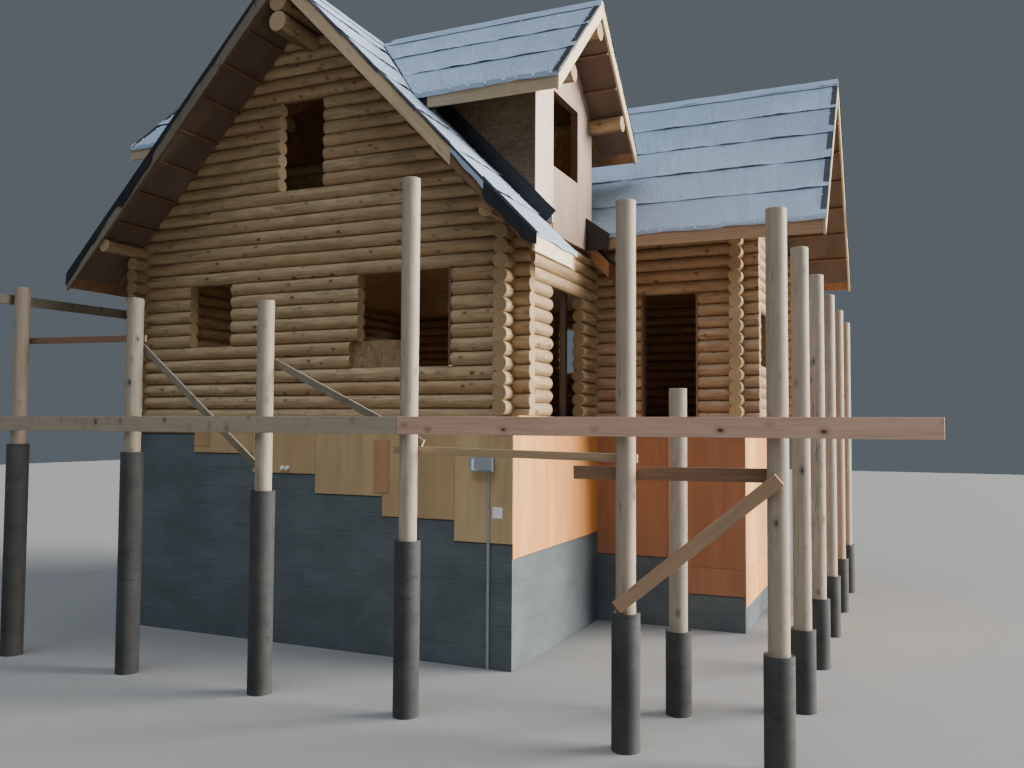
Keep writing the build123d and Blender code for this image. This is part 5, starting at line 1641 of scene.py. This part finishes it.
# Place across, top and bottom of each front post
FRONT_POSTS = (
    (-6.76, 1.82, -0.45),
    (-4.54, 1.55, -0.53),
    (-2.34, 1.41, -0.97),
    (-0.26, 2.74, -1.47),
    (2.335, 2.225, -2.06),
    (3.86, 2.0, -2.33),
)
PORCH_Y = -2.27
POST_RADIUS = 0.107
SIDE_POSTS = 5
SIDE_PITCH = 2.09
SIDE_POST_TOP, SIDE_POST_BOTTOM = 2.0, -2.5
INNER_POST = (2.56, -0.9, 0.305, -2.5)
GROUND = -3.45
TUBE_RADIUS = 0.149
BEAM_TOP = -0.046
BEAM_HEIGHT, BEAM_THICKNESS = 0.203, 0.045
STUD_WIDTH, PLANK_WIDTH = 0.089, 0.14


class CABIN_OT_porch(bpy.types.Operator):
    """Adds the posts, their form tubes, the rim beam and the temporary boards"""

    bl_idname = "cabin.porch"
    bl_label = "Porch frame"

    def execute(self, context):
        rng = np.random.default_rng(61)
        posts = [(x, PORCH_Y, top, bottom) for x, top, bottom in FRONT_POSTS]
        for k in range(1, SIDE_POSTS + 1):
            posts.append((FRONT_POSTS[-1][0], PORCH_Y + k * SIDE_PITCH, SIDE_POST_TOP, SIDE_POST_BOTTOM))
        posts.append(INNER_POST)
        logs = Surfaces()
        tubes = Surfaces()
        for x, y, top, bottom in posts:
            place = house(x, y, 0)[:2]
            upright_log(logs, place, FLOOR_TOP + bottom - 0.01, FLOOR_TOP + top, rng, POST_RADIUS)
            self.tube(tubes, place, FLOOR_TOP + GROUND, FLOOR_TOP + bottom, rng)
        logs.piece("porch_post_logs", ("post", "post_end"), ["porch_posts"], "post_wood")
        tubes.piece("porch_form_tubes", ("form", "concrete"), ["porch_piers"], "pier_form")

        beams = Surfaces()
        beam_y = PORCH_Y - POST_RADIUS - BEAM_THICKNESS / 2
        middle_z = BEAM_TOP - BEAM_HEIGHT / 2
        # The left length of the rim beam takes the weathered copy, which also holds painted shade.
        for start, end, slots in ((-7.15, -0.331, (0, 2)), (-0.33, 5.32, (1, 2))):
            board(
                beams, house(start, beam_y, middle_z), house(end, beam_y, middle_z), (0, 0, 1), (0, 1, 0),
                BEAM_HEIGHT, BEAM_THICKNESS, rng, slots=slots, tone=0.3,
            )
        beams.piece("porch_rim_beam", ("weathered", "pink", "board_end"), ["porch_beam"], "sawn_wood")

        rails = Surfaces()
        behind = PORCH_Y + POST_RADIUS + STUD / 2
        before = PORCH_Y - POST_RADIUS - STUD / 2
        x = [post[0] for post in FRONT_POSTS]
        runs = [
            ((x[0] - 0.2, 1.06), (x[1] + 0.06, 1.02), STUD_WIDTH, behind, 2),
            # Slot 4 is the dark board copy: painted shade on these rails.
            ((x[1] - 0.06, 0.96), (x[2] - 0.06, -0.79), STUD_WIDTH, behind, 4),
            ((x[2] - 0.06, 0.69), (x[3] + 0.12, -0.355), STUD_WIDTH, behind, 4),
            ((x[3] - 0.27, -0.43), (x[4] + 0.09, -0.48), STUD_WIDTH, behind, 0),
            ((x[4] - 0.615, -0.64), (x[5] + 0.06, -0.62), PLANK_WIDTH, behind, 2),
            ((x[4] - 0.06, -1.99), (x[5] + 0.03, -0.64), PLANK_WIDTH, before, 3),
        ]
        for start, end, width, y, slot in runs:
            direction = np.array([end[0] - start[0], 0, end[1] - start[1]])
            direction /= np.linalg.norm(direction)
            across = np.array([-direction[2], 0, direction[0]])
            board(
                rails, house(start[0], y, start[1]), house(end[0], y, end[1]), across, (0, 1, 0),
                width, STUD, rng, slots=(slot, 1),
            )
        rail_x = x[0] - POST_RADIUS - STUD / 2
        # Slot 4 again: painted shade on the end rail.
        board(
            rails, house(rail_x, PORCH_Y - 0.48, 1.64), house(rail_x, -LOG_RADIUS, 1.67),
            (0, 0, 1), (1, 0, 0), PLANK_WIDTH, STUD, rng, slots=(4, 1),
        )
        finishes = ("board", "board_end", "ruddy", "tan", "aged")
        rails.piece("porch_rails", finishes, ["porch_braces"], "sawn_wood")
        return {"FINISHED"}

    def tube(self, surfaces, place, bottom, top, rng):
        """A form tube: a wall profile turned round the pier's axis, filled a little below its rim."""
        sides = 32
        angle = np.linspace(0, 2 * np.pi, sides, endpoint=False)
        radius = TUBE_RADIUS
        profile = np.array(
            [
                (radius, bottom), (radius, (bottom + top) / 2), (radius, top - 0.002),
                (radius - 0.002, top + 0.006), (radius - 0.006, top + 0.006), (radius - 0.007, top - 0.004),
            ]
        )
        rings = np.stack(
            [
                place[0] + profile[:, :1] * np.cos(angle),
                place[1] + profile[:, :1] * np.sin(angle),
                np.broadcast_to(profile[:, 1:], (len(profile), sides)),
            ],
            axis=-1,
        )
        around = np.linspace(0, 2 * np.pi * radius, sides + 1) + rng.uniform(0, 9)
        ends = [np.stack([radius * np.cos(angle), radius * np.sin(angle)], axis=-1)] * 2
        along = profile_lengths(profile) + rng.uniform(0, 9)
        carried(surfaces, rings, along, around, ends, rng.uniform())


class CABIN_OT_details(bpy.types.Operator):
    """Finishes the solids that stay and adds the small fittings"""

    bl_idname = "cabin.details"
    bl_label = "Panels and fittings"

    def execute(self, context):
        nodes = frame["nodes"]
        chosen = {
            "concrete": ["foundation_front_rear", "foundation_sides"],
            "treated": ["skirt_front_rear", "skirt_sides"],
            "strand": ["front_window_panel"],
            "slab": ["roof_right", "roof_left", "roof_wing", "dormer_roofs"],
            "deck": ["floor_platform", "upper_floor", "dormer_cheeks"],
            "framing": ["dormer_faces"],
            "enamel": ["electrical_service"],
        }
        for finish, names in chosen.items():
            for name in names:
                nodes[name].data.materials.clear()
                nodes[name].data.materials.append(MATERIALS[finish])

        rng = np.random.default_rng(71)
        low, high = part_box("interior_post")
        post = Surfaces()
        radius = (high.x - low.x) / 2
        place = ((low.x + high.x) / 2, (low.y + high.y) / 2)
        upright_log(post, place, low.z, high.z, rng, radius)
        post.piece("doorway_post", ("old_timber", "log_end"), ["interior_post"], "post_wood")

        jambs = Surfaces()
        wall_half = LOG_RADIUS - 0.008
        for x, line, bottom, top in (
            (0.88 + STUD / 2, WING_FRONT, 0.004, 2.095),
            (1.85 - STUD / 2, WING_FRONT, 0.004, 2.095),
            (-0.87 - STUD / 2, FRONT_LINE, 0.71, 2.095),
        ):
            place = house(x, 0, 0)[0]
            ends = [(place, line, FLOOR_TOP + z) for z in (bottom, top)]
            board(jambs, *ends, (0, 1, 0), (1, 0, 0), 2 * wall_half, STUD, rng)
        jambs.piece("door_jambs", ("ruddy", "board_end"), (), "sawn_wood")

        fittings = Surfaces()
        face = -WALL_FACE - 0.014
        vents = np.array([house(-3.73, face - 0.03, -0.805), house(-3.64, face - 0.03, -0.805)], float)
        cap_nails(fittings, [(vents, np.tile([0.0, -1.0, 0.0], (2, 1)))], 0.036, 0.01, 0.04)
        ends = [house(-0.116, face, z) for z in (-1.405, -1.254)]
        board(fittings, *ends, (1, 0, 0), (0, 1, 0), 0.145, 0.004, rng, 0.001, (0, 0))
        low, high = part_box("electrical_service")
        centre = house(-0.3115, 0, -0.67)
        lid = low.y - 0.004
        ends = [(centre[0] + 0.02, lid, centre[2] + z) for z in (-0.078, 0.078)]
        board(fittings, *ends, (1, 0, 0), (0, 1, 0), 0.28, 0.012, rng, 0.004, (1, 1))
        ends = [(centre[0] - 0.105, lid - 0.003, centre[2] + z) for z in (-0.085, 0.07)]
        board(fittings, *ends, (1, 0, 0), (0, 1, 0), 0.10, 0.003, rng, 0.001, (0, 0))
        fittings.piece("skirt_fittings", ("cap", "enamel"), (), "grey_enamel")
        return {"FINISHED"}


SUNS = (
    # Name, direction, strength, spread in degrees and colour
    ("key", (-0.86, -0.42, -0.32), 12.0, 40, (1.0, 0.97, 0.92)),
    ("above", (0.02, 0.38, -1.0), 2.3, 45, (0.78, 0.89, 1.0)),
)
FLOOR_REACH = 60.0


class CABIN_OT_stage(bpy.types.Operator):
    """Adds the camera at the photograph's view, the floor and the light"""

    bl_idname = "cabin.stage"
    bl_label = "Stage"

    def execute(self, context):
        stage = context.scene.cabin_stage
        camera = bpy.data.objects.new("camera", bpy.data.cameras.new("camera"))
        camera.data.lens = stage.lens
        camera.data.sensor_width = 36.0
        camera.data.clip_end = 300
        yaw, tilt, roll = -stage.yaw, stage.tilt, stage.roll
        forward = Vector((math.sin(yaw) * math.cos(tilt), math.cos(yaw) * math.cos(tilt), math.sin(tilt)))
        right = forward.cross(Vector((0, 0, 1))).normalized()
        up = right.cross(forward)
        turned = math.cos(roll) * right + math.sin(roll) * up
        above = -math.sin(roll) * right + math.cos(roll) * up
        place = Vector(house(*stage.eye))
        camera.matrix_world = Matrix(
            (
                (turned.x, above.x, -forward.x, place.x),
                (turned.y, above.y, -forward.y, place.y),
                (turned.z, above.z, -forward.z, place.z),
                (0, 0, 0, 1),
            )
        )
        context.scene.collection.objects.link(camera)
        context.scene.camera = camera

        corners = [(x * FLOOR_REACH, y * FLOOR_REACH, 0) for x, y in ((-1, -1), (1, -1), (1, 1), (-1, 1))]
        mesh = bpy.data.meshes.new("stage_floor")
        mesh.from_pydata(corners, [], [(0, 1, 2, 3)])
        floor = bpy.data.objects.new("stage_floor", mesh)
        context.scene.collection.objects.link(floor)
        mesh.materials.append(floor_finish("pale_floor", (0.21, 0.206, 0.20)))

        world = bpy.data.worlds.new("soft_sky")
        context.scene.world = world
        world.use_nodes = True
        sky = world.node_tree.nodes["Background"].inputs
        sky["Color"].default_value = (0.74, 0.87, 1.0, 1)
        sky["Strength"].default_value = 0.14
        for name, direction, strength, spread, color in SUNS:
            light = bpy.data.lights.new(name, "SUN")
            light.energy = strength
            light.angle = math.radians(spread)
            light.color = color
            lamp = bpy.data.objects.new(name, light)
            lamp.rotation_euler = Vector(direction).to_track_quat("-Z", "Y").to_euler()
            context.scene.collection.objects.link(lamp)
        light = bpy.data.lights.new("side_fill", "AREA")
        light.energy = 60
        light.size = 6
        light.color = (1.0, 0.93, 0.84)
        lamp = bpy.data.objects.new("side_fill", light)
        lamp.location = (9, -12, 4)
        lamp.rotation_euler = (Vector((0, -3, 4)) - lamp.location).to_track_quat("-Z", "Y").to_euler()
        context.scene.collection.objects.link(lamp)
        return {"FINISHED"}


class CABIN_PT_panel(bpy.types.Panel):
    """Lists the steps that dress the cabin"""

    bl_idname = "CABIN_PT_panel"
    bl_label = "Log cabin"
    bl_space_type = "VIEW_3D"
    bl_region_type = "UI"
    bl_category = "Log cabin"

    def draw(self, context):
        for operator in OPERATORS:
            self.layout.operator(operator.bl_idname)


GROUPS = (
    (CabinLogs, "cabin_logs"),
    (CabinRoof, "cabin_roof"),
    (CabinSheets, "cabin_sheets"),
    (CabinStage, "cabin_stage"),
)
OPERATORS = (
    CABIN_OT_stage,
    CABIN_OT_logs,
    CABIN_OT_ridge_logs,
    CABIN_OT_felt,
    CABIN_OT_membrane,
    CABIN_OT_fascia,
    CABIN_OT_soffits,
    CABIN_OT_dormer_sheets,
    CABIN_OT_skirt,
    CABIN_OT_porch,
    CABIN_OT_details,
)


def register():
    """Registers the property groups, the operators and the panel."""
    for group, name in GROUPS:
        bpy.utils.register_class(group)
        setattr(bpy.types.Scene, name, bpy.props.PointerProperty(type=group))
    for operator in OPERATORS:
        bpy.utils.register_class(operator)
    bpy.utils.register_class(CABIN_PT_panel)


def unregister():
    """Takes them out again, in reverse order."""
    bpy.utils.unregister_class(CABIN_PT_panel)
    for operator in reversed(OPERATORS):
        bpy.utils.unregister_class(operator)
    for group, name in reversed(GROUPS):
        delattr(bpy.types.Scene, name)
        bpy.utils.unregister_class(group)


def main():
    """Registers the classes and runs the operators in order."""
    register()
    make_finishes(bpy.context.scene)
    for operator in OPERATORS:
        group, name = operator.bl_idname.split(".")
        getattr(getattr(bpy.ops, group), name)()
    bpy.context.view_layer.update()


if __name__ == "__main__":
    main()
